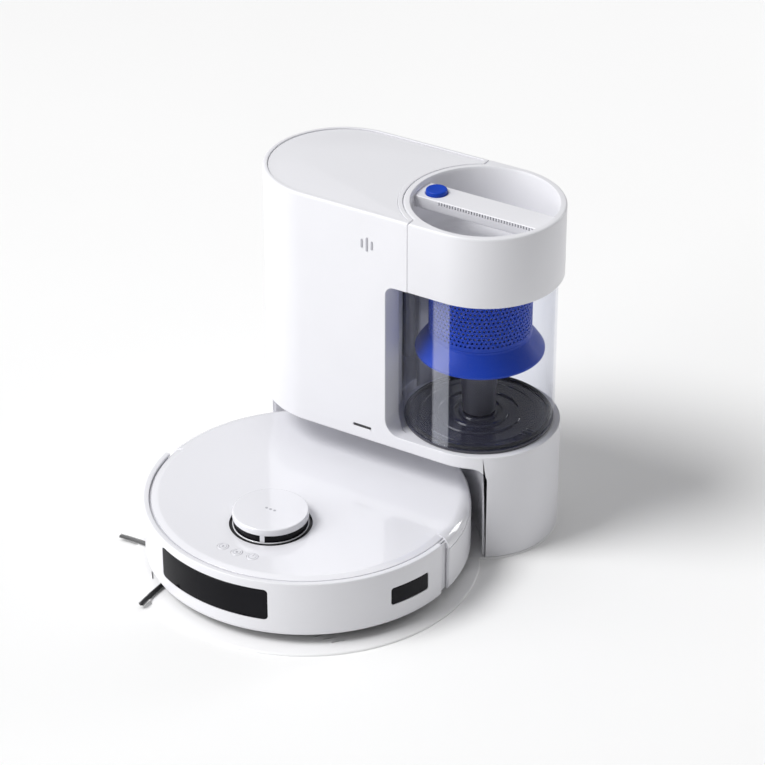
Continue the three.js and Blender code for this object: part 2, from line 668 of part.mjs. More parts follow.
function chassis() {
  const r = ROBOT_RADIUS - CHASSIS_WALL_INSET;
  const top = ROBOT_TOP - PLATE_THICK - FIT;
  const low = CHASSIS_Z;
  let pan = disc(r, low, top, 0, 0, 44);
  pan = pan.subtract(disc(r - WALL, low + CHASSIS_THICK, top + 5, 0, 0, 44));
  for (const side of [-1, 1]) {
    const x = side * WHEEL_TRACK / 2;
    const half = WHEEL_WIDTH / 2 + 4;
    pan = pan.subtract(box(x - half, x + half, -WHEEL_RADIUS - 5, WHEEL_RADIUS + 22, 0, low + 10));
  }
  const slot = ROLLER_LENGTH / 2 + 8;
  pan = pan.subtract(box(-slot, slot, ROLLER_Y - ROLLER_RADIUS - 5, ROLLER_Y + ROLLER_RADIUS + 5, 0, low + 10));
  pan = pan.subtract(disc(CASTER_RADIUS + CASTER_TRAIL + 4, 0, low + 10, 0, CASTER_Y, 32));
  pan = pan.subtract(disc(5, 0, low + 10, BRUSH_X, BRUSH_Y, 24));
  const door = PORT_RADIUS + 7;
  return pan.subtract(box(-door, door, r - 20, r + 10, PORT_Z - door + 1, PORT_Z + door + 1));
}

function sideShell() {
  const outer = ROBOT_RADIUS;
  const wall = ringSector(outer - SKIN, outer, ROBOT_SKIRT_Z, SHOULDER_Z - FIT, Math.PI / 2, Math.PI / 2);
  return wall.subtract(rodAlong(PORT_RADIUS, [0, 100, PORT_Z], [0, 200, PORT_Z]));
}

// The rounded shoulder that the top plate has behind the bumper.
function plateShoulder() {
  const outer = ROBOT_RADIUS - FIT;
  const low = ROBOT_TOP - PLATE_THICK;
  const ring = spun([[outer - SKIN, SHOULDER_Z], [outer, SHOULDER_Z], [outer, low - 4.5], [outer - 1.6, low - 0.5],
    [outer - 5, ROBOT_TOP - 0.9], [outer - 10, ROBOT_TOP], [PLATE_RADIUS - 8, ROBOT_TOP], [PLATE_RADIUS - 8, low],
    [outer - SKIN - 4, low], [outer - SKIN, low - 5]], 0, 0, 60);
  return ring.intersect(box(-200, 200, 0, 200, 0, 200));
}

function topPlate() {
  let plate = disc(PLATE_RADIUS, ROBOT_TOP - PLATE_THICK, ROBOT_TOP, 0, 0, 60).add(plateShoulder());
  plate = plate.subtract(disc(TURRET_RECESS, 0, 200, 0, TURRET_Y, 40));
  for (const step of [-1, 0, 1]) {
    plate = plate.subtract(disc(KEY_RADIUS + FIT, 0, 200, step * KEY_SPACING, keyY(step), 24));
  }
  return plate;
}

function keyY(step) {
  return KEY_Y + Math.abs(step) * 1.5;
}

function key(step) {
  const r = KEY_RADIUS;
  const top = ROBOT_TOP + KEY_RISE;
  const low = ROBOT_TOP - PLATE_THICK + KEY_TRAVEL + 0.1;
  return spun([[0, low], [r, low], [r, top - 0.4], [r - 0.5, top], [0, top]], step * KEY_SPACING, keyY(step), 24);
}

function windowBand(inner, outer, z0, z1, middle, half, grow) {
  const tilt = grow / outer;
  return ringSector(inner, outer, z0 - grow, z1 + grow, middle, half + tilt, 8);
}

function frontWindow(grow) {
  const inner = ROBOT_RADIUS - SKIN + (grow ? -2 : 0.4);
  const outer = ROBOT_RADIUS + (grow ? 3 : -0.4);
  const half = THREE.MathUtils.degToRad(WINDOW_HALF_ANGLE);
  const middle = THREE.MathUtils.degToRad(WINDOW_ANGLE - 90);
  return windowBand(inner, outer, 31, 67, middle, half, grow);
}

function sideWindow(grow) {
  const inner = ROBOT_RADIUS - SKIN + (grow ? -2 : 0.4);
  const outer = ROBOT_RADIUS + (grow ? 3 : -0.4);
  const half = THREE.MathUtils.degToRad(SIDE_WINDOW_HALF_ANGLE);
  const middle = THREE.MathUtils.degToRad(SIDE_WINDOW_ANGLE - 90);
  return windowBand(inner, outer, 35, 55, middle, half, grow);
}

function bumper() {
  const outer = ROBOT_RADIUS;
  const top = ROBOT_TOP - 0.8;
  const half = THREE.MathUtils.degToRad(BUMPER_HALF_ANGLE);
  const rim = ringSector(outer - BUMPER_RIM, outer, top - 3, top, -Math.PI / 2, half);
  const wall = ringSector(outer - SKIN, outer, ROBOT_SKIRT_Z, top, -Math.PI / 2, half).add(rim);
  return wall.subtract(frontWindow(FIT)).subtract(sideWindow(FIT));
}

function lidarBase() {
  const r = TURRET_RECESS - FIT;
  const top = ROBOT_TOP - 2;
  return spun([[0, top - 12], [r - 6, top - 12], [r - 6, top - 4], [r, top - 4], [r, top], [0, top]], 0, TURRET_Y, 40);
}

function lidarRotor() {
  const low = ROBOT_TOP - 2 + FIT;
  const top = TURRET_TOP - TURRET_LID - TURRET_TRAVEL - 0.5;
  const drum = disc(TURRET_RADIUS - 9, low, top, 0, TURRET_Y, 40);
  const mid = (low + top) / 2;
  const eye = (x) => rodAlong(3.2, [x, TURRET_Y - 50, mid], [x, TURRET_Y - 20, mid], 16);
  return drum.subtract(eye(-9)).subtract(eye(9));
}

function turretCap() {
  const r = TURRET_RADIUS;
  const low = ROBOT_TOP - 2 + TURRET_TRAVEL + FIT;
  const lid = TURRET_TOP - TURRET_LID;
  let cap = spun([[0, lid], [r, lid], [r, TURRET_TOP - 1.5], [r - 1.5, TURRET_TOP], [0, TURRET_TOP]], 0, TURRET_Y, 36);
  cap = cap.add(spun([[r - 5, low], [r, low], [r, low + 2.5], [r - 5, low + 2.5]], 0, TURRET_Y, 36));
  for (let i = 0; i < 3; i += 1) {
    const a = -Math.PI / 2 + 0.35 + i * 2 * Math.PI / 3;
    const x = (r - 2.5) * Math.cos(a);
    const y = TURRET_Y + (r - 2.5) * Math.sin(a);
    cap = cap.add(turnedBox(3.6, 5, low + 1, lid + 1, a, x, y));
  }
  return cap;
}

function brushHub() {
  const hub = spun([[0, 6.4], [10, 6.4], [BRUSH_HUB_RADIUS, 8], [BRUSH_HUB_RADIUS, CHASSIS_Z - FIT],
    [4, CHASSIS_Z - FIT], [4, CHASSIS_Z + 12], [0, CHASSIS_Z + 12]], BRUSH_X, BRUSH_Y, 32);
  return hub;
}

function brushTufts() {
  const inner = BRUSH_HUB_RADIUS + FIT;
  const low = TRAY_THICK + RIB_HEIGHT + 0.5;
  let tufts = spun([[inner, low], [inner + 2, low], [inner + 2, 9.2], [inner, 9.2]], BRUSH_X, BRUSH_Y, 32);
  for (let i = 0; i < 4; i += 1) {
    const a = THREE.MathUtils.degToRad(-1.5 - 90 * i);
    const m = (inner + BRUSH_REACH) / 2 + 0.5;
    const x = BRUSH_X + m * Math.cos(a);
    const y = BRUSH_Y + m * Math.sin(a);
    tufts = tufts.add(turnedBox(BRUSH_REACH - inner - 1, BRISTLE_WIDTH, low, low + BRISTLE_DEEP, a, x, y));
  }
  return tufts;
}

function rollerHousing() {
  const half = ROLLER_LENGTH / 2;
  const r = ROLLER_RADIUS;
  const y0 = ROLLER_Y - r - 4.5;
  const y1 = ROLLER_Y + r + 4.5;
  const z = rollerZ();
  let trough = box(-half - 7.5, half + 7.5, y0, y1, CHASSIS_Z, z + r + 5);
  trough = trough.subtract(rodX(r + 1.5, -half - 2, half + 2, ROLLER_Y, z, 40));
  trough = trough.subtract(box(-half - 2, half + 2, y0 + 3, y1 - 3, 0, z));
  trough = trough.subtract(rodX(ROLLER_AXLE + RUN, -half - 20, half + 20, ROLLER_Y, z, 24));
  return trough.subtract(box(-30, 30, ROLLER_Y, y1 + 10, z + 2, z + r - 2));
}

function rollerZ() {
  return TRAY_THICK + RIB_HEIGHT + ROLLER_GAP + ROLLER_RADIUS;
}

function mainRoller() {
  const half = ROLLER_LENGTH / 2;
  const z = rollerZ();
  let roller = rodX(ROLLER_RADIUS - 5, -half, half, ROLLER_Y, z, 24);
  for (let i = 0; i < 3; i += 1) {
    const fin = new THREE.BoxGeometry(2 * half, 2 * ROLLER_RADIUS - 0.6, 2.4);
    fin.rotateX(i * Math.PI / 3);
    fin.translate(0, ROLLER_Y, z);
    roller = roller.add(solid(fin));
  }
  return roller.add(rodX(ROLLER_AXLE, -half - 6, half + 6, ROLLER_Y, z, 24));
}

function tyre(side) {
  const x = side * WHEEL_TRACK / 2;
  const half = WHEEL_WIDTH / 2;
  let tread = rodX(WHEEL_RADIUS, x - half, x + half, 0, WHEEL_Z, 36);
  for (let i = 0; i < 12; i += 1) {
    const a = (i + 0.5) * Math.PI / 6;
    const groove = new THREE.BoxGeometry(WHEEL_WIDTH + 2, 2.5, 2.5);
    groove.rotateX(a);
    groove.translate(x, WHEEL_RADIUS * Math.cos(a), WHEEL_Z + WHEEL_RADIUS * Math.sin(a));
    tread = tread.subtract(solid(groove));
  }
  return tread.subtract(rodX(WHEEL_RADIUS - 6, x - 30, x + 30, 0, WHEEL_Z, 28));
}

function wheelHub(side) {
  const x = side * WHEEL_TRACK / 2;
  const half = WHEEL_WIDTH / 2 - 1;
  const r = WHEEL_RADIUS - 6 - FIT;
  const outward = side * half;
  let hub = rodX(r, x - half, x + half, 0, WHEEL_Z, 28);
  const dish = rodX(r - 4, Math.min(x + outward, x + outward - side * 6), Math.max(x + outward, x + outward - side * 6), 0, WHEEL_Z, 24);
  hub = hub.subtract(dish);
  return hub.subtract(rodX(3 + RUN, x - 30, x + 30, 0, WHEEL_Z, 20));
}

function wheelArm(side) {
  const inner = side * (WHEEL_TRACK / 2 - WHEEL_WIDTH / 2 - 1);
  const x0 = Math.min(inner, inner - side * 2.4);
  const x1 = Math.max(inner, inner - side * 2.4);
  const y1 = WHEEL_RADIUS + 12;
  let arm = box(x0, x1, -7, y1, WHEEL_Z - 6, WHEEL_Z + 6);
  const pin0 = Math.min(inner - side, side * (WHEEL_TRACK / 2 + 6));
  const pin1 = Math.max(inner - side, side * (WHEEL_TRACK / 2 + 6));
  arm = arm.add(rodX(3, pin0, pin1, 0, WHEEL_Z, 20));
  const pivot0 = Math.min(x0, side * (WHEEL_TRACK / 2 + 10));
  const pivot1 = Math.max(x1, side * (WHEEL_TRACK / 2 + 10));
  return arm.add(rodX(4, pivot0, pivot1, y1 - 4, WHEEL_Z, 20));
}

function casterZ() {
  return TRAY_THICK + RIB_HEIGHT + WHEEL_LIFT + CASTER_RADIUS;
}

function casterFork() {
  const z = casterZ();
  const head = z + CASTER_RADIUS + 1.5;
  let fork = disc(15, head, head + 6, 0, CASTER_Y, 32).add(disc(6, head + 5, head + 20, 0, CASTER_Y, 24));
  for (const side of [-1, 1]) {
    fork = fork.add(box(side * 8.6 - 1.4, side * 8.6 + 1.4, CASTER_Y - 2, CASTER_Y + CASTER_TRAIL + 4, z - 4, head + 1));
  }
  return fork.add(rodX(2, -9, 9, CASTER_Y + CASTER_TRAIL, z, 20));
}

function casterWheel() {
  const z = casterZ();
  const y = CASTER_Y + CASTER_TRAIL;
  return rodX(CASTER_RADIUS, -6.5, 6.5, y, z, 32).subtract(rodX(2 + RUN, -20, 20, y, z, 20));
}

function dustBox() {
  const x = 78;
  const y0 = ROLLER_Y + ROLLER_RADIUS + 6;
  const z0 = CHASSIS_Z + CHASSIS_THICK + FIT;
  const z1 = ROBOT_TOP - PLATE_THICK - 3;
  const crate = box(-x, x, y0, 56, z0, z1);
  const hollow = box(-x + 2.5, x - 2.5, y0 + 2.5, 53.5, z0 + 2.5, z1 - 2.5);
  return crate.subtract(hollow).subtract(box(-28, 28, y0 - 5, y0 + 10, z0 + 8, z0 + 24));
}

function batteryPack() {
  const z0 = CHASSIS_Z + CHASSIS_THICK + FIT;
  return box(-66, 6, 64, 104, z0, z0 + 38);
}

function suctionFan() {
  const z0 = CHASSIS_Z + CHASSIS_THICK + FIT;
  return disc(26, z0, z0 + 34, 42, 88, 40).add(disc(16, z0 + 30, z0 + 46, 42, 88, 32));
}

function mainBoard() {
  const z = ROBOT_TOP - PLATE_THICK - 6;
  return box(-62, 8, 62, 118, z, z + 1.6);
}

function outletFlap() {
  const r = ROBOT_RADIUS - SKIN - 1.2;
  return ringSector(r - 1.6, r, PORT_Z - PORT_RADIUS - 3, PORT_Z + PORT_RADIUS + 4, Math.PI / 2, 0.11, 6);
}

function placed(body) {
  return body.translate([ROBOT_X, ROBOT_Y, 0]);
}

// ---- assemble
add('dock_tray', dockTray(), PALE);
add('main_shell', mainShell(), WHITE);
add('rear_cover', rearCover(), WHITE);
add('exhaust_grille', exhaustGrille(), PALE);
add('bay_liner', bayLiner(), PALE);
add('top_panel', topPanel(), WHITE);
add('indicator_lens', indicator(0), LENS);
add('badge', badge(), LENS);
add('mains_inlet', mainsInlet(), DARK);
add('port_seal', portSeal(), RUBBER);
add('charge_contact_l', chargeContact(1), METAL);
add('charge_contact_r', chargeContact(-1), METAL);
add('suction_duct', suctionDuct(), GREY);
add('fan_housing', fanHousing(), DARK);
add('fan_motor', fanMotor(), METAL);
add('fan_impeller', fanImpeller(), GREY);
add('exhaust_filter', exhaustFilter(), PAPER);
add('power_board', box(-130, -70, 62, 63.6, 225, 310), BOARD);
add('foot_pad_l', footPad(-1, 0), RUBBER);
add('foot_pad_r', footPad(1, 0), RUBBER);
add('bin_cap', binCap(), WHITE);
add('handle_bridge', handleBridge(), WHITE);
add('release_button', releaseButton(), BLUE);
add('bin_cup', binCup(), CLEAR);
add('cyclone_shroud', cycloneShroud(), BLUE);
add('cyclone_skirt', cycloneSkirt(), BLUE);
add('cyclone_cone', cycloneCone(), GREY);
add('bin_filter', binFilter(), PAPER);
add('bin_seal', binSeal(), RUBBER);
add('bin_flap', binFlap(), SMOKE);
add('flap_seal', flapSeal(), RUBBER);
add('chassis', placed(chassis()), DARK);
add('side_shell', placed(sideShell()), WHITE);
add('top_plate', placed(topPlate()), WHITE_GLOSS);
add('outlet_flap', placed(outletFlap()), RUBBER);
add('bumper', placed(bumper()), WHITE);
add('window_front', placed(frontWindow(0)), BLACK_GLOSS);
add('window_side', placed(sideWindow(0)), BLACK_GLOSS);
add('lidar_base', placed(lidarBase()), DARK);
add('lidar_rotor', placed(lidarRotor()), BLACK_GLOSS);
add('turret_cap', placed(turretCap()), WHITE_GLOSS);
add('key_left', placed(key(-1)), WHITE_GLOSS);
add('key_middle', placed(key(0)), WHITE_GLOSS);
add('key_right', placed(key(1)), WHITE_GLOSS);
add('brush_hub', placed(brushHub()), DARK);
add('brush_tufts', placed(brushTufts()), BRISTLE);
add('roller_housing', placed(rollerHousing()), DARK);
add('main_roller', placed(mainRoller()), GREY);
add('wheel_arm_l', placed(wheelArm(-1)), DARK);
add('wheel_arm_r', placed(wheelArm(1)), DARK);
add('wheel_hub_l', placed(wheelHub(-1)), GREY);
add('wheel_hub_r', placed(wheelHub(1)), GREY);
add('tyre_l', placed(tyre(-1)), RUBBER);
add('tyre_r', placed(tyre(1)), RUBBER);
add('caster_fork', placed(casterFork()), DARK);
add('caster_wheel', placed(casterWheel()), GREY);
add('dust_box', placed(dustBox()), SMOKE);
add('battery_pack', placed(batteryPack()), DARK);
add('suction_fan', placed(suctionFan()), DARK);
add('main_board', placed(mainBoard()), BOARD);

export default assembly;
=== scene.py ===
import json
from math import atan2, ceil, cos, pi, radians, sin, sqrt, tan

import bmesh
import bpy
from bpy.props import FloatProperty, FloatVectorProperty, IntProperty, PointerProperty
from mathutils import Matrix, Vector


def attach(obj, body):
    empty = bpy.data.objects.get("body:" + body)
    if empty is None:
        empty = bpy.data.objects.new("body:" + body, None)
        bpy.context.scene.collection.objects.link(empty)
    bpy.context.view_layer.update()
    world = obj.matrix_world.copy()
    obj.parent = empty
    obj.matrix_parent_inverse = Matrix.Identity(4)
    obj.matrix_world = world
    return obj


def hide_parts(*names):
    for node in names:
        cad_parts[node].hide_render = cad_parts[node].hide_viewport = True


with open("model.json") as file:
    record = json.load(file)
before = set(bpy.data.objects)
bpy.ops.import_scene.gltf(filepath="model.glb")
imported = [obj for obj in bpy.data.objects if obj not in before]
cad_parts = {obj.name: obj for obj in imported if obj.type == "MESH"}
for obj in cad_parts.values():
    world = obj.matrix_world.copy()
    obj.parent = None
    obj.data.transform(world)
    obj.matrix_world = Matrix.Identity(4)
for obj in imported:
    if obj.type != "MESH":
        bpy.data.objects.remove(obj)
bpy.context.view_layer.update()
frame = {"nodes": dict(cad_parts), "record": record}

bl_info = {
    "name": "Robot vacuum and station",
    "version": (1, 0, 0),
    "blender": (4, 5, 0),
    "location": "View3D > Sidebar > Vacuum",
    "description": "Builds the finished look of a robot vacuum on its self-emptying station",
    "category": "Object",
}

# ---- fixed layout in millimetres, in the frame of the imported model
END_X = 85.5
END_RADIUS = 84.5
BIN_X = 82.5
DECK_Z = 128.0
CAP_FOOT = 306.0
TOP_Z = 386.0
ROBOT = (-36.0, -155.0)
ROBOT_RADIUS = 173.0
TURRET = (ROBOT[0], ROBOT[1] - 71.0)
BRUSH = (ROBOT[0] - 92.0, ROBOT[1] - 85.0)
BAY_RADIUS = 188.3
BAY_TOP = 114.0
BAY_RIGHT = 132.2
WINDOW_X = 17.0
CUP_RADIUS = 80.5
POCKET_RADIUS = 86.5
CAP_RADIUS = 84.2
CAP_CORNER_X = 43.3
BUTTON = (28, 0)
MARK = (-5, 349)
PORT_Z = 40
BUMPER_HALF_ANGLE = radians(85.4)
FRONT_WINDOW_ANGLE = radians(-94.6)
SIDE_WINDOW_ANGLE = radians(-20)
KEY_SPACING = 18
KEY_Y = 135
WHEEL_X = 105
WHEEL_Z = 36.5
ROLLER_Y = 28
ROLLER_Z = 24.4


# ---- settings a user would change
class StationSizes(bpy.types.PropertyGroup):
    """Sizes of the station and its dust bin."""

    edge_round: FloatProperty(name="Edge rounding", description="Radius along the top rim",
        default=0.003, unit="LENGTH")
    small_round: FloatProperty(name="Small rounding", description="Radius on cut edges", default=0.0009,
        unit="LENGTH")
    cup_wall: FloatProperty(name="Cup wall", description="Thickness of the clear cup", default=0.0025,
        unit="LENGTH")
    hole_columns: IntProperty(name="Hole columns", description="Perforations round the shroud", default=70)
    hole_rows: IntProperty(name="Hole rows", description="Perforations up the shroud", default=13)
    hole_share: FloatProperty(name="Hole share", description="Hole width as a share of its cell",
        default=0.56)
    grille_slots: IntProperty(name="Grille slots", description="Slots along the handle's front edge",
        default=36)
    slat_count: IntProperty(name="Exhaust slats", description="Slats in the rear grille", default=9)


class RobotSizes(bpy.types.PropertyGroup):
    """Sizes of the robot's small parts."""

    plate_round: FloatProperty(name="Plate edge", description="Width of the plate's sloped edge",
        default=0.007, unit="LENGTH")
    hair_count: IntProperty(name="Hairs", description="Bristles in one tuft of the side brush", default=70)
    hair_radius: FloatProperty(name="Hair radius", description="Radius of one bristle", default=0.00028,
        unit="LENGTH")
    tread_count: IntProperty(name="Tread blocks", description="Blocks round a tyre", default=30)
    rib_count: IntProperty(name="Tray ribs", description="Traction ribs on each side of the tray",
        default=3)


class Finishes(bpy.types.PropertyGroup):
    """Colours of the visible plastics."""

    shell: FloatVectorProperty(name="Shell", description="Satin white shell", subtype="COLOR",
        default=(0.80, 0.80, 0.835))
    gloss: FloatVectorProperty(name="Gloss", description="Glossy white covers", subtype="COLOR",
        default=(0.83, 0.83, 0.87))
    liner: FloatVectorProperty(name="Liner", description="Inside of the bay", subtype="COLOR",
        default=(0.62, 0.62, 0.65))
    blue: FloatVectorProperty(name="Blue", description="Cyclone and button", subtype="COLOR",
        default=(0.004, 0.052, 0.47))
    smoke: FloatVectorProperty(name="Smoke", description="Smoked bin floor", subtype="COLOR",
        default=(0.026, 0.026, 0.042))
    cone: FloatVectorProperty(name="Cone", description="Grey cone under the cyclone", subtype="COLOR",
        default=(0.085, 0.085, 0.10))
    bristle: FloatVectorProperty(name="Bristle", description="Side brush bristles", subtype="COLOR",
        default=(0.045, 0.045, 0.048))


# ---- node trees written as expressions
class Value:
    """A node socket that can be added, multiplied and compared in Python."""

    def __init__(self, tree, socket):
        self.tree = tree
        self.socket = socket

    def maths(self, operation, *values):
        return self.tree.node("ShaderNodeMath", {"operation": operation}, dict(enumerate(values)))

    def __add__(self, other):
        return self.maths("ADD", self, other)

    __radd__ = __add__

    def __sub__(self, other):
        return self.maths("SUBTRACT", self, other)

    def __rsub__(self, other):
        return self.maths("SUBTRACT", other, self)

    def __mul__(self, other):
        return self.maths("MULTIPLY", self, other)

    __rmul__ = __mul__

    def __truediv__(self, other):
        return self.maths("DIVIDE", self, other)

    def __gt__(self, other):
        return self.maths("GREATER_THAN", self, other)

    def __lt__(self, other):
        return self.maths("LESS_THAN", self, other)

    def __mod__(self, other):
        return self.maths("FLOORED_MODULO", self, other)

    def __pow__(self, other):
        return self.maths("POWER", self, other)

    def floor(self):
        return self.maths("FLOOR", self)

    def sine(self):
        return self.maths("SINE", self)

    def cosine(self):
        return self.maths("COSINE", self)

    def size(self):
        return self.maths("ABSOLUTE", self)

    def clamped(self):
        return self.tree.node("ShaderNodeClamp", {}, {0: self})

    def part(self, axis):
        return self.tree.node("ShaderNodeSeparateXYZ", {}, {0: self}, axis)


class Tree:
    """A node tree in which every node is made by one method."""

    def __init__(self, tree):
        self.tree = tree
        tree.nodes.clear()

    def node(self, kind, settings=None, inputs=None, output=0):
        made = self.tree.nodes.new(kind)
        for key, value in (settings or {}).items():
            if key == "stops":
                self.set_stops(made.color_ramp, value)
            else:
                setattr(made, key, value)
        for key, value in (inputs or {}).items():
            if isinstance(value, Value):
                self.tree.links.new(value.socket, made.inputs[key])
            else:
                made.inputs[key].default_value = value
        return Value(self, made.outputs[output]) if made.outputs else made

    def set_stops(self, ramp, stops):
        while len(ramp.elements) < len(stops):
            ramp.elements.new(0.5)
        for element, (place, colour) in zip(ramp.elements, stops):
            element.position = place
            element.color = colour

    def vector(self, x, y, z):
        return self.node("ShaderNodeCombineXYZ", {}, {0: x, 1: y, 2: z})


class Finish(Tree):
    """A material under construction."""

    def __init__(self, name):
        self.material = bpy.data.materials.new(name)
        self.material.use_nodes = True
        super().__init__(self.material.node_tree)
        self.place = self.node("ShaderNodeTexCoord", {}, {}, "Object")

    def noise(self, scale, detail=2.0, rough=0.5, place=None):
        inputs = {"Vector": place or self.place, "Scale": scale, "Detail": detail, "Roughness": rough}
        return self.node("ShaderNodeTexNoise", {}, inputs, 0)

    def stretched(self, x, y, z):
        return self.node("ShaderNodeMapping", {}, {"Vector": self.place, "Scale": (x, y, z)})

    def mix(self, factor, first, second):
        return self.node("ShaderNodeMix", {"data_type": "RGBA"}, {0: factor, 6: first, 7: second}, 2)

    def bump(self, height, strength, distance):
        inputs = {"Height": height, "Strength": strength, "Distance": distance}
        return self.node("ShaderNodeBump", {}, inputs)

    def principled(self, **inputs):
        return self.node("ShaderNodeBsdfPrincipled", {},
            {k.replace("_", " "): v for k, v in inputs.items()})

    def done(self, shader):
        self.node("ShaderNodeOutputMaterial", {}, {0: shader})
        return self.material


def rgba(colour, gain=1.0):
    return (*(min(1.0, channel * gain) for channel in colour), 1.0)


def moulded(name, colour, rough, grain=0.012, coat=0.0, mottle=0.03, scale=2600.0, coat_rough=0.06,
    specular=0.5):
    """Injection-moulded plastic: fine spark texture, slow colour drift and small changes in gloss."""
    made = Finish(name)
    fine = made.noise(scale, 3.0, 0.6)
    broad = made.noise(14.0, 2.0)
    flow = made.noise(5.0, 1.0, 0.5, made.stretched(1.0, 1.0, 3.0))
    tint = made.mix(broad * 0.7 + fine * 0.3, rgba(colour, 1.0 - mottle), rgba(colour, 1.0 + mottle))
    gloss = (fine - 0.5) * 0.10 + (flow - 0.5) * 0.06 + rough
    normal = made.bump(fine, grain, 0.0004)
    shader = made.principled(
        Base_Color=tint, Roughness=gloss.clamped(), Normal=normal, Coat_Weight=coat,
        Coat_Roughness=coat_rough, Specular_IOR_Level=specular)
    return made.done(shader)


def lacquered(name, colour, rough=0.16, mottle=0.015):
    """High-gloss moulding: a clear coat over a barely wavy skin with a little dust."""
    made = Finish(name)
    peel = made.noise(160.0, 2.0, 0.4)
    dust = made.noise(4200.0, 2.0, 0.7)
    broad = made.noise(7.0, 1.0)
    specks = (dust > 0.72) * 0.10
    tint = made.mix(broad, rgba(colour, 1.0 - mottle), rgba(colour, 1.0 + mottle))
    normal = made.bump(peel, 0.02, 0.0006)
    shader = made.principled(
        Base_Color=tint, Roughness=(specks + (broad - 0.5) * 0.05 + rough).clamped(), Normal=normal,
        Coat_Weight=0.8, Coat_Roughness=0.04)
    return made.done(shader)


def rubbery(name, colour, scale=900.0):
    """Rubber or elastomer: matt, faintly dusty, pebbled."""
    made = Finish(name)
    pebble = made.node("ShaderNodeTexVoronoi", {}, {"Vector": made.place, "Scale": scale}, 0)
    dust = made.noise(40.0, 4.0, 0.65)
    tint = made.mix((dust - 0.35).clamped(), rgba(colour), rgba(colour, 2.2))
    normal = made.bump(pebble, 0.25, 0.0002)
    shader = made.principled(Base_Color=tint, Roughness=(dust * 0.25 + 0.6).clamped(), Normal=normal)
    return made.done(shader)


def brushed(name, colour):
    """Plated metal with fine drawn lines."""
    made = Finish(name)
    lines = made.noise(420.0, 4.0, 0.7, made.stretched(1.0, 1.0, 14.0))
    stain = made.noise(22.0, 3.0)
    tint = made.mix(stain, rgba(colour, 0.88), rgba(colour, 1.05))
    normal = made.bump(lines, 0.12, 0.0001)
    shader = made.principled(Base_Color=tint, Metallic=0.95, Roughness=(lines * 0.25 + 0.22).clamped(),
        Normal=normal)
    return made.done(shader)


def circuit(name):
    """Lacquered board with copper tracks under the lacquer."""
    made = Finish(name)
    tracks = made.node("ShaderNodeTexBrick", {"offset": 0.5}, {
        "Vector": made.place, "Scale": 150.0, "Mortar Size": 0.06, "Color1": (0, 0, 0, 1),
        "Color2": (0, 0, 0, 1), "Mortar": (1, 1, 1, 1)}, 0)
    cloud = made.noise(60.0, 3.0)
    green = made.mix(cloud, (0.008, 0.09, 0.03, 1), (0.015, 0.14, 0.05, 1))
    tint = made.mix(tracks, green, (0.09, 0.26, 0.06, 1))
    normal = made.bump(tracks, 0.3, 0.0001)
    shader = made.principled(Base_Color=tint, Roughness=(cloud * 0.2 + 0.25).clamped(), Normal=normal,
        Coat_Weight=0.4)
    return made.done(shader)


def pleated(name):
    """Pleated filter paper with loose fibres."""
    made = Finish(name)
    fibre = made.noise(1500.0, 4.0, 0.75, made.stretched(1.0, 1.0, 0.25))
    stain = made.noise(30.0, 3.0)
    tint = made.mix(stain, (0.72, 0.69, 0.60, 1), (0.86, 0.84, 0.77, 1))
    normal = made.bump(fibre, 0.6, 0.0003)
    shader = made.principled(Base_Color=tint, Roughness=(fibre * 0.2 + 0.75).clamped(), Normal=normal)
    return made.done(shader)


def see_through(name, tint, haze=0.10, edge=0.55, rough=0.04):
    """Clear moulded plastic, glossier towards its edges.

    A lighter band up the front imitates a soft light's reflection. It is painted on, so it does not
    move with the lights.
    """
    made = Finish(name)
    ripple = made.noise(35.0, 2.0)
    normal = made.bump(ripple, 0.03, 0.0008)
    facing = made.node("ShaderNodeLayerWeight", {}, {"Blend": 0.35, "Normal": normal}, 1)
    turn = made.place.part(1).maths("ARCTAN2", made.place.part(1), made.place.part(0) - BIN_X / 1000)
    band = ((turn + radians(91.2)).size() < radians(6.9)) * (ripple * 0.2 + 0.9)
    share = (facing ** 2.5 * edge + band * 0.13 + haze).clamped()
    body = made.principled(
        Base_Color=made.mix(band, rgba(tint), rgba((0.80, 0.82, 0.90))),
        Roughness=(ripple * 0.03 + rough).clamped(), Normal=normal, Coat_Weight=1.0, Coat_Roughness=0.02)
    gap = made.node("ShaderNodeBsdfTransparent", {}, {"Color": rgba((0.96, 0.965, 0.985))})
    shader = made.node("ShaderNodeMixShader", {}, {0: share, 1: gap, 2: body})
    return made.done(shader)


def glassy(name, colour):
    """Dark window plastic, polished, with a faint purple depth."""
    made = Finish(name)
    broad = made.noise(9.0, 2.0)
    smear = made.noise(70.0, 3.0, 0.6, made.stretched(1.0, 1.0, 0.3))
    tint = made.mix(broad, rgba(colour, 0.7), rgba(colour, 1.4))
    shader = made.principled(
        Base_Color=tint, Roughness=(smear * 0.05 + 0.04).clamped(), Specular_IOR_Level=0.10)
    return made.done(shader)


def floor_finish():
    """Seamless studio floor."""
    made = Finish("studio_floor")
    cloud = made.noise(3.0, 2.0)
    tint = made.mix(cloud, (0.93, 0.93, 0.93, 1), (0.95, 0.95, 0.95, 1))
    return made.done(made.principled(Base_Color=tint, Roughness=(cloud * 0.05 + 0.8).clamped(),
        Specular_IOR_Level=0.1))


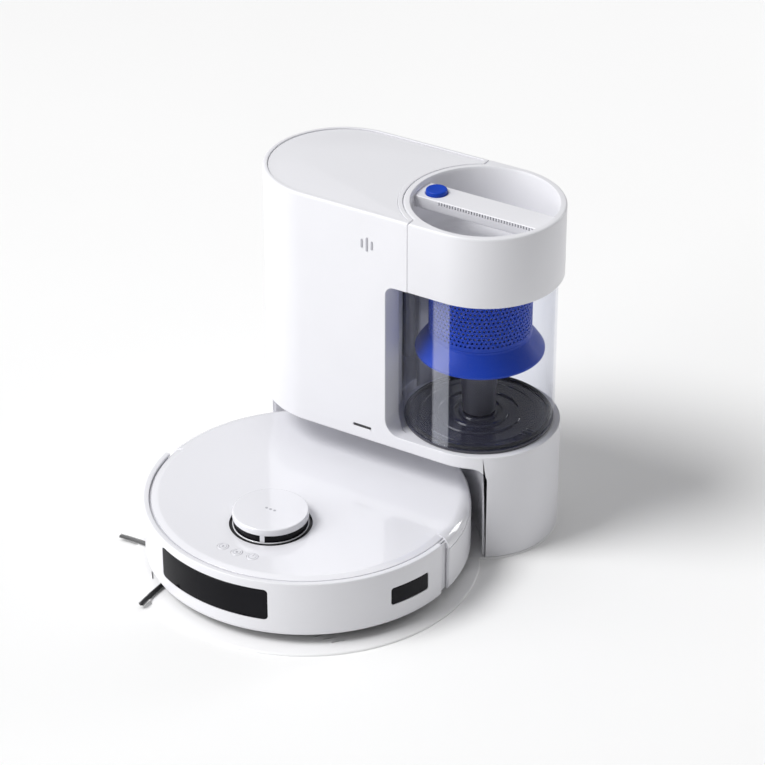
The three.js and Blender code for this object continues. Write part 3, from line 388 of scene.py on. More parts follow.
MAKERS = {
    "shell_white": lambda f: moulded("satin_white", f.shell, 0.34),
    "gloss_white": lambda f: lacquered("gloss_white", f.gloss),
    "tray": lambda f: moulded("tray_white", (0.90, 0.90, 0.91), 0.5, grain=0.03, scale=1500.0),
    "liner": lambda f: moulded("liner_grey", f.liner, 0.5, grain=0.03, scale=1500.0),
    "lens": lambda f: moulded("printed_grey", (0.30, 0.30, 0.33), 0.35, grain=0.005),
    "blue": lambda f: moulded("cobalt_blue", f.blue, 0.42, grain=0.01, mottle=0.06, specular=0.25),
    "clear": lambda f: see_through("clear_cup", (0.34, 0.35, 0.42), haze=0.012, edge=0.45),
    "smoke": lambda f: moulded("smoked_floor", f.smoke, 0.16, grain=0.006, mottle=0.15, coat=0.7),
    "cone": lambda f: moulded("cone_grey", f.cone, 0.32, grain=0.01, mottle=0.08, coat=0.2),
    "grey": lambda f: moulded("mid_grey", (0.16, 0.16, 0.18), 0.45, grain=0.03, mottle=0.08),
    "dark": lambda f: moulded("charcoal", (0.030, 0.030, 0.033), 0.5, grain=0.04, mottle=0.12,
    scale=1600.0),
    "black_gloss": lambda f: glassy("window_black", (0.006, 0.006, 0.008)),
    "rubber": lambda f: rubbery("black_rubber", (0.016, 0.016, 0.017)),
    "bristle": lambda f: moulded("nylon_bristle", f.bristle, 0.4, grain=0.02, mottle=0.25),
    "metal": lambda f: brushed("plated_metal", (0.72, 0.73, 0.75)),
    "board": lambda f: circuit("circuit_board"),
    "filter": lambda f: pleated("filter_paper"),
    "print": lambda f: moulded("icon_print", (0.42, 0.42, 0.46), 0.4, grain=0.004),
}


def finish_for(slot):
    name = "keep_" + slot
    if name not in bpy.data.materials:
        made = MAKERS[slot](bpy.context.scene.vacuum_finishes)
        made.name = name
    return bpy.data.materials[name]


# ---- outlines
def arc(cx, cy, radius, start, end, steps):
    turn = (end - start) / steps
    return [(cx + radius * cos(start + turn * i),
        cy + radius * sin(start + turn * i)) for i in range(steps + 1)]


def stadium(inset, steps=64):
    radius = END_RADIUS - inset
    return arc(END_X, 0, radius, -pi / 2, pi / 2, steps) + arc(-END_X, 0, radius, pi / 2, 1.5 * pi, steps)


def filleted(corners, steps=6):
    """Rounds each corner (x, y, radius) of a closed outline."""
    outline = []
    count = len(corners)
    for i, (x, y, radius) in enumerate(corners):
        here = Vector((x, y))
        if radius <= 0:
            outline.append((x, y))
            continue
        before = (Vector(corners[i - 1][:2]) - here).normalized()
        after = (Vector(corners[(i + 1) % count][:2]) - here).normalized()
        half = before.angle(after) / 2
        middle = here + (before + after).normalized() * (radius / sin(half))
        start = here + before * (radius / tan(half)) - middle
        end = here + after * (radius / tan(half)) - middle
        sweep = start.angle_signed(end)
        first = atan2(start.y, start.x)
        for k in range(steps + 1):
            angle = first - sweep * k / steps
            outline.append((middle.x + radius * cos(angle), middle.y + radius * sin(angle)))
    return outline


# ---- meshes
def build(name, mesh):
    bmesh.ops.recalc_face_normals(mesh, faces=mesh.faces[:])
    bmesh.ops.scale(mesh, vec=(0.001, 0.001, 0.001), verts=mesh.verts[:])
    data = bpy.data.meshes.new(name)
    mesh.to_mesh(data)
    mesh.free()
    made = bpy.data.objects.new(name, data)
    bpy.context.scene.collection.objects.link(made)
    return made


def loft(name, rings, cap=True):
    """Joins rings of points, each a closed loop, into one skin."""
    mesh = bmesh.new()
    loops = [[mesh.verts.new(point) for point in ring] for ring in rings]
    for low, high in zip(loops, loops[1:]):
        for i in range(len(low)):
            j = (i + 1) % len(low)
            mesh.faces.new((low[i], low[j], high[j], high[i]))
    if cap:
        mesh.faces.new(loops[0][::-1])
        mesh.faces.new(loops[-1])
    return build(name, mesh)


def level(outline, z):
    return [(x, y, z) for x, y in outline]


def prism(name, shape, z0, z1, top=0.0, bottom=0.0, steps=4):
    """Raises an outline from z0 to z1; shape(inset) gives the outline, which steps in over rounded ends."""
    rings = []
    for i in range(steps + 1) if bottom else [steps]:
        angle = i * pi / 2 / steps
        rings.append(level(shape(bottom * (1 - sin(angle))), z0 + bottom * (1 - cos(angle))))
    for i in range(steps + 1) if top else [0]:
        angle = i * pi / 2 / steps
        rings.append(level(shape(top * (1 - cos(angle))), z1 - top * (1 - sin(angle))))
    return loft(name, rings)


def prism_y(name, outline, y0, y1):
    return loft(name, [[(x, y, z) for x, z in outline] for y in (y0, y1)])


def spun(name, profile, centre, steps=128, start=0.0, end=2 * pi):
    """Turns a closed profile of (radius, height) about the vertical line at centre."""
    whole = end - start > 6.28
    count = steps if whole else steps + 1
    mesh = bmesh.new()
    columns = []
    poles = {i: mesh.verts.new((centre[0], centre[1], z)) for i, (r, z) in enumerate(profile) if r < 1e-6}
    for k in range(count):
        angle = start + (end - start) * k / steps
        column = []
        for i, (r, z) in enumerate(profile):
            place = (centre[0] + r * cos(angle), centre[1] + r * sin(angle), z)
            column.append(poles[i] if i in poles else mesh.verts.new(place))
        columns.append(column)
    for k in range(steps):
        here = columns[k]
        there = columns[(k + 1) % count]
        for i in range(len(profile)):
            j = (i + 1) % len(profile)
            corners = list(dict.fromkeys((here[i], there[i], there[j], here[j])))
            if len(corners) > 2:
                mesh.faces.new(corners)
    if not whole:
        mesh.faces.new(columns[0])
        mesh.faces.new(columns[-1][::-1])
    return build(name, mesh)


def rounded_profile(points, steps=5):
    """Rounds a lathe profile of (radius, height, rounding)."""
    return filleted(points, steps)


def tube(name, path, radius, sides=12, cap=True):
    """A round bar along a list of points."""
    rings = []
    for i, point in enumerate(path):
        ahead = Vector(path[min(i + 1, len(path) - 1)]) - Vector(path[max(i - 1, 0)])
        ahead.normalize()
        side = ahead.cross((0, 0, 1)) if abs(ahead.z) < 0.9 else ahead.cross((0, 1, 0))
        side.normalize()
        lift = side.cross(ahead)
        size = radius[i] if isinstance(radius, list) else radius
        rings.append([Vector(point) + (side * cos(a) + lift * sin(a)) * size
                      for a in (2 * pi * k / sides for k in range(sides))])
    return loft(name, rings, cap)


def apply_modifiers(piece):
    graph = bpy.context.evaluated_depsgraph_get()
    data = bpy.data.meshes.new_from_object(piece.evaluated_get(graph))
    piece.modifiers.clear()
    old = piece.data
    piece.data = data
    bpy.data.meshes.remove(old)
    return piece


def drop(*pieces):
    for piece in pieces:
        bpy.data.objects.remove(piece)


def cut(piece, *cutters, operation="DIFFERENCE"):
    for cutter in cutters:
        modifier = piece.modifiers.new("cut", "BOOLEAN")
        modifier.operation = operation
        modifier.solver = "MANIFOLD"
        modifier.object = cutter
    apply_modifiers(piece)
    drop(*cutters)
    return piece


def join(piece, *others):
    """Copies the faces of others into piece, without cutting them."""
    mesh = bmesh.new()
    mesh.from_mesh(piece.data)
    for other in others:
        mesh.from_mesh(other.data)
    mesh.to_mesh(piece.data)
    mesh.free()
    drop(*others)
    return piece


def soften(piece, width, segments=2, angle=38):
    """Rounds sharp edges and keeps flat faces flat."""
    merge(piece)
    smooth(piece)
    modifier = piece.modifiers.new("soften", "BEVEL")
    modifier.width = width
    modifier.segments = segments
    modifier.limit_method = "ANGLE"
    modifier.angle_limit = radians(angle)
    modifier.use_clamp_overlap = False
    modifier.harden_normals = True
    modifier.miter_outer = "MITER_ARC"
    return apply_modifiers(piece)


def merge(piece, distance=0.00002):
    mesh = bmesh.new()
    mesh.from_mesh(piece.data)
    bmesh.ops.remove_doubles(mesh, verts=mesh.verts[:], dist=distance)
    bmesh.ops.dissolve_degenerate(mesh, edges=mesh.edges[:], dist=distance)
    mesh.to_mesh(piece.data)
    mesh.free()
    return piece


def smooth(piece, angle=36):
    piece.data.shade_smooth()
    piece.data.set_sharp_from_angle(angle=radians(angle))
    return piece


def settle(piece, slot, body, *nodes, finish=None):
    """Gives a finished piece its material and ties it to the body it moves with."""
    piece.data.materials.clear()
    piece.data.materials.append(finish_for(finish or slot))
    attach(piece, body)
    if nodes:
        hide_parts(*nodes)
    return piece


# ---- Geometry Nodes
def geometry_tree(name, *inputs):
    group = bpy.data.node_groups.new(name, "GeometryNodeTree")
    group.is_modifier = True
    group.interface.new_socket("Geometry", in_out="INPUT", socket_type="NodeSocketGeometry")
    group.interface.new_socket("Geometry", in_out="OUTPUT", socket_type="NodeSocketGeometry")
    for label, kind in inputs:
        group.interface.new_socket(label, in_out="INPUT", socket_type="NodeSocket" + kind)
    tree = Tree(group)
    source = group.nodes.new("NodeGroupInput")
    tree.given = {socket.name: Value(tree, socket) for socket in source.outputs}
    return tree


def close_tree(tree, geometry):
    geometry = tree.node("GeometryNodeRealizeInstances", {}, {0: geometry})
    geometry = tree.node("GeometryNodeMergeByDistance", {}, {"Geometry": geometry, "Distance": 0.00001})
    geometry = tree.node("GeometryNodeSetMaterial", {},
        {"Geometry": geometry, "Material": tree.given["Finish"]})
    out = tree.tree.nodes.new("NodeGroupOutput")
    tree.tree.links.new(geometry.socket, out.inputs[0])
    return tree.tree


def repeat_tree():
    """Places copies of a piece in a row or round an axis."""
    tree = geometry_tree("repeat_piece", ("Piece", "Object"), ("Count", "Int"), ("Centre", "Vector"),
                         ("Step", "Vector"), ("Turn", "Vector"), ("Finish", "Material"))
    index = tree.node("GeometryNodeInputIndex")
    step = tree.node("ShaderNodeVectorMath", {"operation": "SCALE"},
        {0: tree.given["Step"], "Scale": index})
    place = tree.node("ShaderNodeVectorMath", {"operation": "ADD"}, {0: step, 1: tree.given["Centre"]})
    turn = tree.node("ShaderNodeVectorMath", {"operation": "SCALE"},
        {0: tree.given["Turn"], "Scale": index})
    points = tree.node("GeometryNodePoints", {}, {"Count": tree.given["Count"], "Position": place})
    piece = tree.node("GeometryNodeObjectInfo", {}, {"Object": tree.given["Piece"]}, "Geometry")
    copies = tree.node("GeometryNodeInstanceOnPoints", {},
        {"Points": points, "Instance": piece, "Rotation": turn})
    return close_tree(tree, copies)


def sheet_tree():
    """Lays staggered cells on a flat sheet and rolls the sheet into a tube."""
    tree = geometry_tree("rolled_sheet", ("Piece", "Object"), ("Columns", "Int"), ("Rows", "Int"),
                         ("Radius", "Float"), ("Pitch", "Float"), ("Foot", "Float"), ("Middle", "Float"),
                         ("Finish", "Material"))
    given = tree.given
    index = tree.node("GeometryNodeInputIndex")
    row = (index / given["Columns"]).floor()
    along = (index % given["Columns"]) + (row % 2) * 0.5
    count = given["Columns"] * given["Rows"]
    flat = tree.vector(along * given["Pitch"], 0.0, row * given["Pitch"] + given["Foot"])
    points = tree.node("GeometryNodePoints", {}, {"Count": count, "Position": flat})
    piece = tree.node("GeometryNodeObjectInfo", {}, {"Object": given["Piece"]}, "Geometry")
    copies = tree.node("GeometryNodeInstanceOnPoints", {}, {"Points": points, "Instance": piece})
    sheet = tree.node("GeometryNodeRealizeInstances", {}, {0: copies})
    place = tree.node("GeometryNodeInputPosition")
    angle = place.part(0) / given["Radius"]
    reach = place.part(1) + given["Radius"]
    rolled = tree.vector(angle.cosine() * reach + given["Middle"], angle.sine() * reach, place.part(2))
    moved = tree.node("GeometryNodeSetPosition", {}, {"Geometry": sheet, "Position": rolled})
    return close_tree(tree, moved)


def tuft_tree():
    """Scatters bristles across the root of a tuft, each leaning a little its own way."""
    tree = geometry_tree("bristle_tuft", ("Piece", "Object"), ("Count", "Int"), ("Centre", "Vector"),
                         ("Spread", "Vector"), ("Lean", "Float"), ("Heading", "Float"), ("Seed", "Int"),
                         ("Finish", "Material"))
    given = tree.given
    wide = {"data_type": "FLOAT_VECTOR"}
    offset = tree.node("FunctionNodeRandomValue", wide,
        {0: (-1, -1, -1), 1: (1, 1, 1), "Seed": given["Seed"]})
    offset = tree.node("ShaderNodeVectorMath", {"operation": "MULTIPLY"}, {0: offset, 1: given["Spread"]})
    place = tree.node("ShaderNodeVectorMath", {"operation": "ADD"}, {0: offset, 1: given["Centre"]})
    points = tree.node("GeometryNodePoints", {}, {"Count": given["Count"], "Position": place})
    lean = tree.node("FunctionNodeRandomValue", wide,
        {0: (-1, -1, -1), 1: (1, 1, 1), "Seed": given["Seed"] + 7})
    pitch = lean.part(1) * given["Lean"] * 0.3
    yaw = lean.part(2) * given["Lean"] + given["Heading"]
    piece = tree.node("GeometryNodeObjectInfo", {}, {"Object": given["Piece"]}, "Geometry")
    copies = tree.node("GeometryNodeInstanceOnPoints", {}, {
        "Points": points, "Instance": piece, "Rotation": tree.vector(0.0, pitch, yaw)})
    return close_tree(tree, copies)


def grown(name, tree, slot, **values):
    """Runs a node tree with the given inputs and returns its result as a plain mesh."""
    carrier = bpy.data.objects.new(name, bpy.data.meshes.new(name))
    bpy.context.scene.collection.objects.link(carrier)
    modifier = carrier.modifiers.new(tree.name, "NODES")
    modifier.node_group = tree
    values["Finish"] = finish_for(slot)
    for socket in tree.interface.items_tree:
        if socket.in_out == "INPUT" and socket.name in values:
            modifier[socket.identifier] = values[socket.name]
    return apply_modifiers(carrier)


# ---- station
def bay_cutter(inset):
    corner = 16.0 - inset
    right = BAY_RIGHT - inset
    top = BAY_TOP - inset
    front = filleted([(-500, -10, 0), (right, -10, 0), (right, top, corner), (-500, top, 0)], 8)
    block = prism_y("bay_front", front, -500, 200)
    around = arc(*ROBOT, BAY_RADIUS - inset, 0, 2 * pi, 180)[:-1]
    return cut(block, prism("bay_round", lambda i: around, -20, 130), operation="INTERSECT")


def disc_tool(name, x, y, radius, z0, z1, steps=128):
    ring = arc(x, y, radius, 0, 2 * pi, steps)[:-1]
    return prism(name, lambda i: ring, z0, z1)


def box_tool(name, x0, x1, y0, y1, z0, z1):
    return prism(name, lambda i: [(x0, y0), (x1, y0), (x1, y1), (x0, y1)], z0, z1)


def rod_tool(name, start, end, radius, sides=32):
    return tube(name, [start, end], radius, sides)


class VACUUM_OT_station_shell(bpy.types.Operator):
    """Builds the station's white housing with its bay, bin pocket and rim"""

    bl_idname = "vacuum.station_shell"
    bl_label = "Station shell"

    def execute(self, context):
        sizes = context.scene.vacuum_station
        edge = sizes.edge_round * 1000
        shell = prism("station_shell", stadium, 2.9, TOP_Z, top=edge, bottom=1.0)
        window = filleted([(WINDOW_X, DECK_Z, 18), (400, DECK_Z, 0), (400, CAP_FOOT, 0),
            (WINDOW_X, CAP_FOOT, 10)], 10)
        inner = disc_tool("tower_hollow", -60, 0, 60, 140, 340)
        cutters = [
            bay_cutter(0),
            cut(prism_y("window_tool", window, -200, 200),
            disc_tool("pocket_tool", BIN_X, 0, POCKET_RADIUS, DECK_Z, CAP_FOOT), operation="UNION"),
            disc_tool("cap_tool", END_X, 0, 84.5, CAP_FOOT - 0.3, 500),
            box_tool("cap_end_tool", 43, 300, -200, 200, CAP_FOOT - 0.3, 500),
            self.panel_tool(5.0, 381.8, 500),
            prism_y("rear_tool", filleted([(-79.5, 130, 4), (8, 130, 4), (8, 356, 4), (-79.5, 356, 4)]),
            80.5, 95),
            rod_tool("port_tool", (ROBOT[0], 0, PORT_Z), (ROBOT[0], 52, PORT_Z), 14),
            rod_tool("inlet_tool", (10, 38, 285), (-34, 58, 285), 14),
            prism_y("lens_tool", filleted([(-22.3, 126.7, 1), (-0.7, 126.7, 1), (-0.7, 129.7, 1),
            (-22.3, 129.7, 1)]), -90, -80),
            box_tool("mains_tool", 21.7, 52.3, 60.2, 95, 17.7, 40.3),
            inner,
        ]
        cut(shell, *cutters)
        soften(shell, sizes.small_round)
        settle(shell, "shell_white", "station", "main_shell")
        self.lens()
        return {"FINISHED"}

    def panel_tool(self, rim, z0, z1):
        slab = prism("panel_tool", lambda i: stadium(rim), z0, z1)
        cut(slab, box_tool("panel_end", 43 - rim, 300, -200, 200, 0, 600),
            disc_tool("panel_bite", END_X, 0, 84.5 + rim, 0, 600))
        return slab

    def lens(self):
        lens = prism_y("status_lens",
            filleted([(-22, 127, 1.1), (-1, 127, 1.1), (-1, 129.4, 1.1), (-22, 129.4, 1.1)]), -84.3, -81.5)
        settle(smooth(lens), "lens", "station", "indicator_lens", finish="dark")


class VACUUM_OT_station_top(bpy.types.Operator):
    """Builds the panel let into the top, in the shell's satin white, and the small printed mark on the
    front
    """

    bl_idname = "vacuum.station_top"
    bl_label = "Station top"

    def execute(self, context):
        rim = 5.35
        slab = prism("top_panel_gloss", lambda i: stadium(rim + i), 382.1, 384.8, top=0.8)
        cut(slab, box_tool("panel_end", 43 - rim, 300, -200, 200, 0, 600),
            disc_tool("panel_bite", END_X, 0, 84.5 + rim, 0, 600))
        settle(smooth(merge(slab)), "shell_white", "station", "top_panel")
        self.mark()
        return {"FINISHED"}

    def mark(self):
        """Three plain upright bars."""
        pieces = []
        middle, height = MARK
        for x, tall in ((middle - 6, 5.0), (middle, 8.0), (middle + 6, 5.0)):
            bar = filleted([(x - 1.1, height - tall, 1), (x + 1.1, height - tall, 1),
                (x + 1.1, height + tall, 1), (x - 1.1, height + tall, 1)])
            pieces.append(prism_y("mark_bar", bar, -85.0, -84.4))
        mark = join(*pieces)
        settle(smooth(mark), "lens", "station", "badge", finish="print")


class VACUUM_OT_station_back(bpy.types.Operator):
    """Builds the rear cover, the exhaust grille and the cover's screws; the mains inlet is a recess cut in
    the shell
    """

    bl_idname = "vacuum.station_back"
    bl_label = "Station back"

    def execute(self, context):
        sizes = context.scene.vacuum_station
        outline = filleted([(-79.2, 130.3, 4), (7.7, 130.3, 4), (7.7, 355.7, 4), (-79.2, 355.7, 4)])
        cover = prism_y("rear_cover_plate", outline, 81.5, 84.5)
        cut(cover, box_tool("vent_tool", -79.5, -22.5, 70, 100, 156, 192))
        for x, z in ((-70, 140), (-2, 140), (-70, 346), (-2, 346)):
            cut(cover, rod_tool("screw_tool", (x, 83.2, z), (x, 90, z), 3.2, 24))
        settle(soften(cover, sizes.small_round), "shell_white", "station", "rear_cover")
        self.grille(sizes)
        self.screws()
        return {"FINISHED"}

    def grille(self, sizes):
        frame_ring = box_tool("exhaust_frame", -78.7, -23.3, 81.5, 84.5, 156.3, 191.7)
        cut(frame_ring, box_tool("frame_hole", -75.5, -26.5, 70, 95, 159.5, 188.5))
        slat = prism_y("slat", filleted([(-24.7, -0.8, 0.7), (24.7, -0.8, 0.7), (24.7, 0.8, 0.7),
            (-24.7, 0.8, 0.7)]), -1.2, 1.2)
        step = 0.029 / sizes.slat_count
        slats = grown("slats", repeat_tree(), "tray", Piece=slat, Count=sizes.slat_count,
                      Centre=(-0.051, 0.083, 0.1595 + step / 2), Step=(0, 0, step), Turn=(0, 0, 0))
        drop(slat)
        settle(smooth(join(frame_ring, slats)), "tray", "station", "exhaust_grille")

    def screws(self):
        head = spun("screw", rounded_profile([(0, -1.4, 0), (2.6, -1.4, 0), (2.6, 0.4, 0.5),
            (0, 0.9, 0)]), (0, 0), 24)
        cut(head, box_tool("slot", -2, 2, -0.35, 0.35, 0.1, 3),
            box_tool("slot", -0.35, 0.35, -2, 2, 0.1, 3))
        head.data.transform(Matrix.Rotation(-pi / 2, 4, "X"))
        rows = []
        for x in (-70, -2):
            rows.append(grown("screws", repeat_tree(), "metal", Piece=head, Count=2,
                Centre=(x / 1000, 0.0832, 0.140),
                              Step=(0, 0, 0.206), Turn=(0, 0.4, 0)))
        drop(head)
        settle(smooth(join(*rows)), "metal", "station")


class VACUUM_OT_bay(bpy.types.Operator):
    """Builds the lining of the docking bay, its port seal and its charging contacts"""

    bl_idname = "vacuum.bay"
    bl_label = "Docking bay"

    def execute(self, context):
        liner = bay_cutter(0.3)
        cut(liner, prism("liner_plan", lambda i: stadium(4.0), 2.9, 120), operation="INTERSECT")
        cut(liner, bay_cutter(3.3),
            rod_tool("port_tool", (ROBOT[0], 0, PORT_Z), (ROBOT[0], 60, PORT_Z), 14))
        settle(soften(liner, 0.0006), "liner", "station", "bay_liner", finish="shell_white")
        seal = tube("port_gasket", [(ROBOT[0], 18.6, 40), (ROBOT[0], 28.5, 40)], 17.8, 48)
        cut(seal, rod_tool("gasket_bore", (ROBOT[0], 0, PORT_Z), (ROBOT[0], 60, PORT_Z), 14, 48))
        settle(soften(seal, 0.0008), "rubber", "station", "port_seal")
        for side, node in ((1, "charge_contact_l"), (-1, "charge_contact_r")):
            settle(self.contact(side), "metal", "station", node)
        return {"FINISHED"}

    def contact(self, side):
        angle = pi / 2 + side * 0.37
        reach = ROBOT_RADIUS + 6.0
        plate = prism("contact", lambda i: filleted([(-4.3 + i, -13.8 + i, 1.2), (4.3 - i, -13.8 + i, 1.2),
                                                     (4.3 - i, 13.8 - i, 1.2),
                                                     (-4.3 + i, 13.8 - i, 1.2)]), 46.2, 53.8, top=0.8,
                                                     bottom=0.8)
        plate.data.transform(Matrix.Rotation(angle, 4, "Z"))
        plate.data.transform(Matrix.Translation(Vector((ROBOT[0] + reach * cos(angle),
            ROBOT[1] + reach * sin(angle), 0)) / 1000))
        return smooth(plate)


class VACUUM_OT_tray(bpy.types.Operator):
    """Builds the low tray the robot parks on, with its traction ribs and rubber feet"""

    bl_idname = "vacuum.tray"
    bl_label = "Dock tray"

    def execute(self, context):
        tray = prism("tray_foot", stadium, 0.0, 2.6, top=0.8)
        apron = spun("tray_apron", [(0, 0), (184, 0), (184, 1.2), (183.4, 2.0), (182.2, 2.6), (0, 2.6)],
            (-33, -160), 192)
        cut(tray, apron, operation="UNION")
        for side in (-1, 1):
            cut(tray, disc_tool("pad_tool", side * 77, 55, 7.4, -1, 1.5, 32))
        settle(smooth(merge(tray)), "tray", "station", "dock_tray")
        self.ribs(context.scene.vacuum_robot.rib_count)
        for side, node in ((-1, "foot_pad_l"), (1, "foot_pad_r")):
            pad = prism("rubber_foot",
                lambda i: filleted([(side * 77 - 30 + i, 48 + i, 6.5), (side * 77 + 30 - i, 48 + i, 6.5),
                                                           (side * 77 + 30 - i, 62 - i, 6.5),
                                                           (side * 77 - 30 + i, 62 - i, 6.5)]), 0.0,
                                                           1.2, bottom=0.3)
            settle(smooth(pad), "rubber", "station", node)
        return {"FINISHED"}

    def ribs(self, count):
        rows = []
        for side in (-1, 1):
            bar = prism("rib", lambda i: filleted([(-7 + i, -1 + i, 0.9), (7 - i, -1 + i, 0.9),
                (7 - i, 1 - i, 0.9), (-7 + i, 1 - i, 0.9)]),
                        2.2, 3.2, top=0.5)
            bar.data.transform(Matrix.Rotation(0.9 * side, 4, "Z"))
            start = ROBOT[0] + side * WHEEL_X - 5 * (count - 1)
            rows.append(grown("ribs", repeat_tree(), "tray", Piece=bar, Count=count,
                Centre=(start / 1000, -0.281, 0),
                              Step=(0.010, 0, 0), Turn=(0, 0, 0)))
            drop(bar)
        settle(smooth(join(*rows)), "tray", "station")


# ---- dust bin
def cap_outline(inset, steps=96):
    radius = CAP_RADIUS - inset
    corner = CAP_CORNER_X + inset
    y = sqrt(radius ** 2 - (END_X - corner) ** 2)
    angle = atan2(y, corner - END_X)
    left = arc(END_X, 0, radius, angle, 2 * pi - angle, 40)
    right = arc(END_X, 0, radius, -pi / 2, pi / 2, steps)
    return right + [(corner, radius)] + left + [(corner, -radius)]


class VACUUM_OT_bin_cap(bpy.types.Operator):
    """Builds the white cap of the dust bin with its finger bowl"""

    bl_idname = "vacuum.bin_cap"
    bl_label = "Bin cap"

    def execute(self, context):
        sizes = context.scene.vacuum_station
        cap = prism("cap_white", cap_outline, CAP_FOOT, TOP_Z, top=sizes.edge_round * 1000 * 0.8,
            bottom=1.2)
        bowl = rounded_profile([(0, 326, 0), (62, 326, 0), (76, 326, 13), (76, 383.5, 0),
            (77.6, 386.0, 0), (77.6, 400, 0), (0, 400, 0)], 8)
        under = [(0, 290), (81.2, 290), (81.2, 323), (0, 323)]
        cut(cap, spun("bowl_tool", bowl, (END_X, 0), 160), spun("under_tool", under, (END_X, 0), 128))
        settle(smooth(merge(cap)), "shell_white", "dust_bin", "bin_cap")
        return {"FINISHED"}


class VACUUM_OT_handle(bpy.types.Operator):
    """Builds the bridge across the bowl, its slotted edge and the blue release button"""

    bl_idname = "vacuum.handle"
    bl_label = "Bin handle"

    def execute(self, context):
        sizes = context.scene.vacuum_station
        bar = prism("handle_bar",
            lambda i: [(0, -16.5 + i), (300, -16.5 + i), (300, 16.5 - i), (0, 16.5 - i)], 366, 380,
            top=1.2, bottom=2.5)
        cut(bar, disc_tool("handle_ends", END_X, 0, 75.9, 300, 400), operation="INTERSECT")
        well = spun("button_well",
            rounded_profile([(0, 368.8, 0), (11.6, 368.8, 1), (11.6, 379.2, 0), (12.6, 380.3, 0),
            (12.6, 400, 0), (0, 400, 0)]), BUTTON, 96)
        cut(bar, well)
        slot = prism("slot", lambda i: filleted([(-0.8, -2.4, 0.5), (0.8, -2.4, 0.5), (0.8, 2.4, 0.5),
            (-0.8, 2.4, 0.5)], 2), 375.2, 379.0)
        pitch = 0.0032
        slots = grown("slots", repeat_tree(), "shell_white", Piece=slot, Count=sizes.grille_slots,
            Centre=(0.0405, -0.0158, 0),
                      Step=(pitch, 0, 0), Turn=(0, 0, 0))
        drop(slot)
        cut(bar, slots)
        settle(smooth(merge(bar)), "shell_white", "dust_bin", "handle_bridge")
        button = spun("blue_button",
            rounded_profile([(0, 372.4, 0), (11.3, 372.4, 0.4), (11.3, 384.5, 1.6), (0, 384.5, 0)]),
            BUTTON, 96)
        dish = spun("button_dish",
            [(0, 384.0), (4, 384.1), (7.5, 384.4), (9, 384.7), (9, 390), (0, 390)], BUTTON, 64)
        settle(smooth(cut(button, dish)), "blue", "bin_button", "release_button")
        return {"FINISHED"}


class VACUUM_OT_cup(bpy.types.Operator):
    """Builds the clear cup"""

    bl_idname = "vacuum.cup"
    bl_label = "Clear cup"

    def execute(self, context):
        wall = context.scene.vacuum_station.cup_wall * 1000
        outer = CUP_RADIUS
        inner = outer - wall
        profile = rounded_profile([(inner, 132.1, 0.8), (outer, 132.1, 0.8), (outer, 305.7, 0.8),
            (inner, 305.7, 0.8)], 3)
        cup = spun("cup_clear", profile, (BIN_X, 0), 160)
        cut(cup, rod_tool("inlet_tool", (16, 34, 285), (-34, 58, 285), 11.5, 40))
        settle(smooth(merge(cup)), "clear", "dust_bin", "bin_cup")
        return {"FINISHED"}


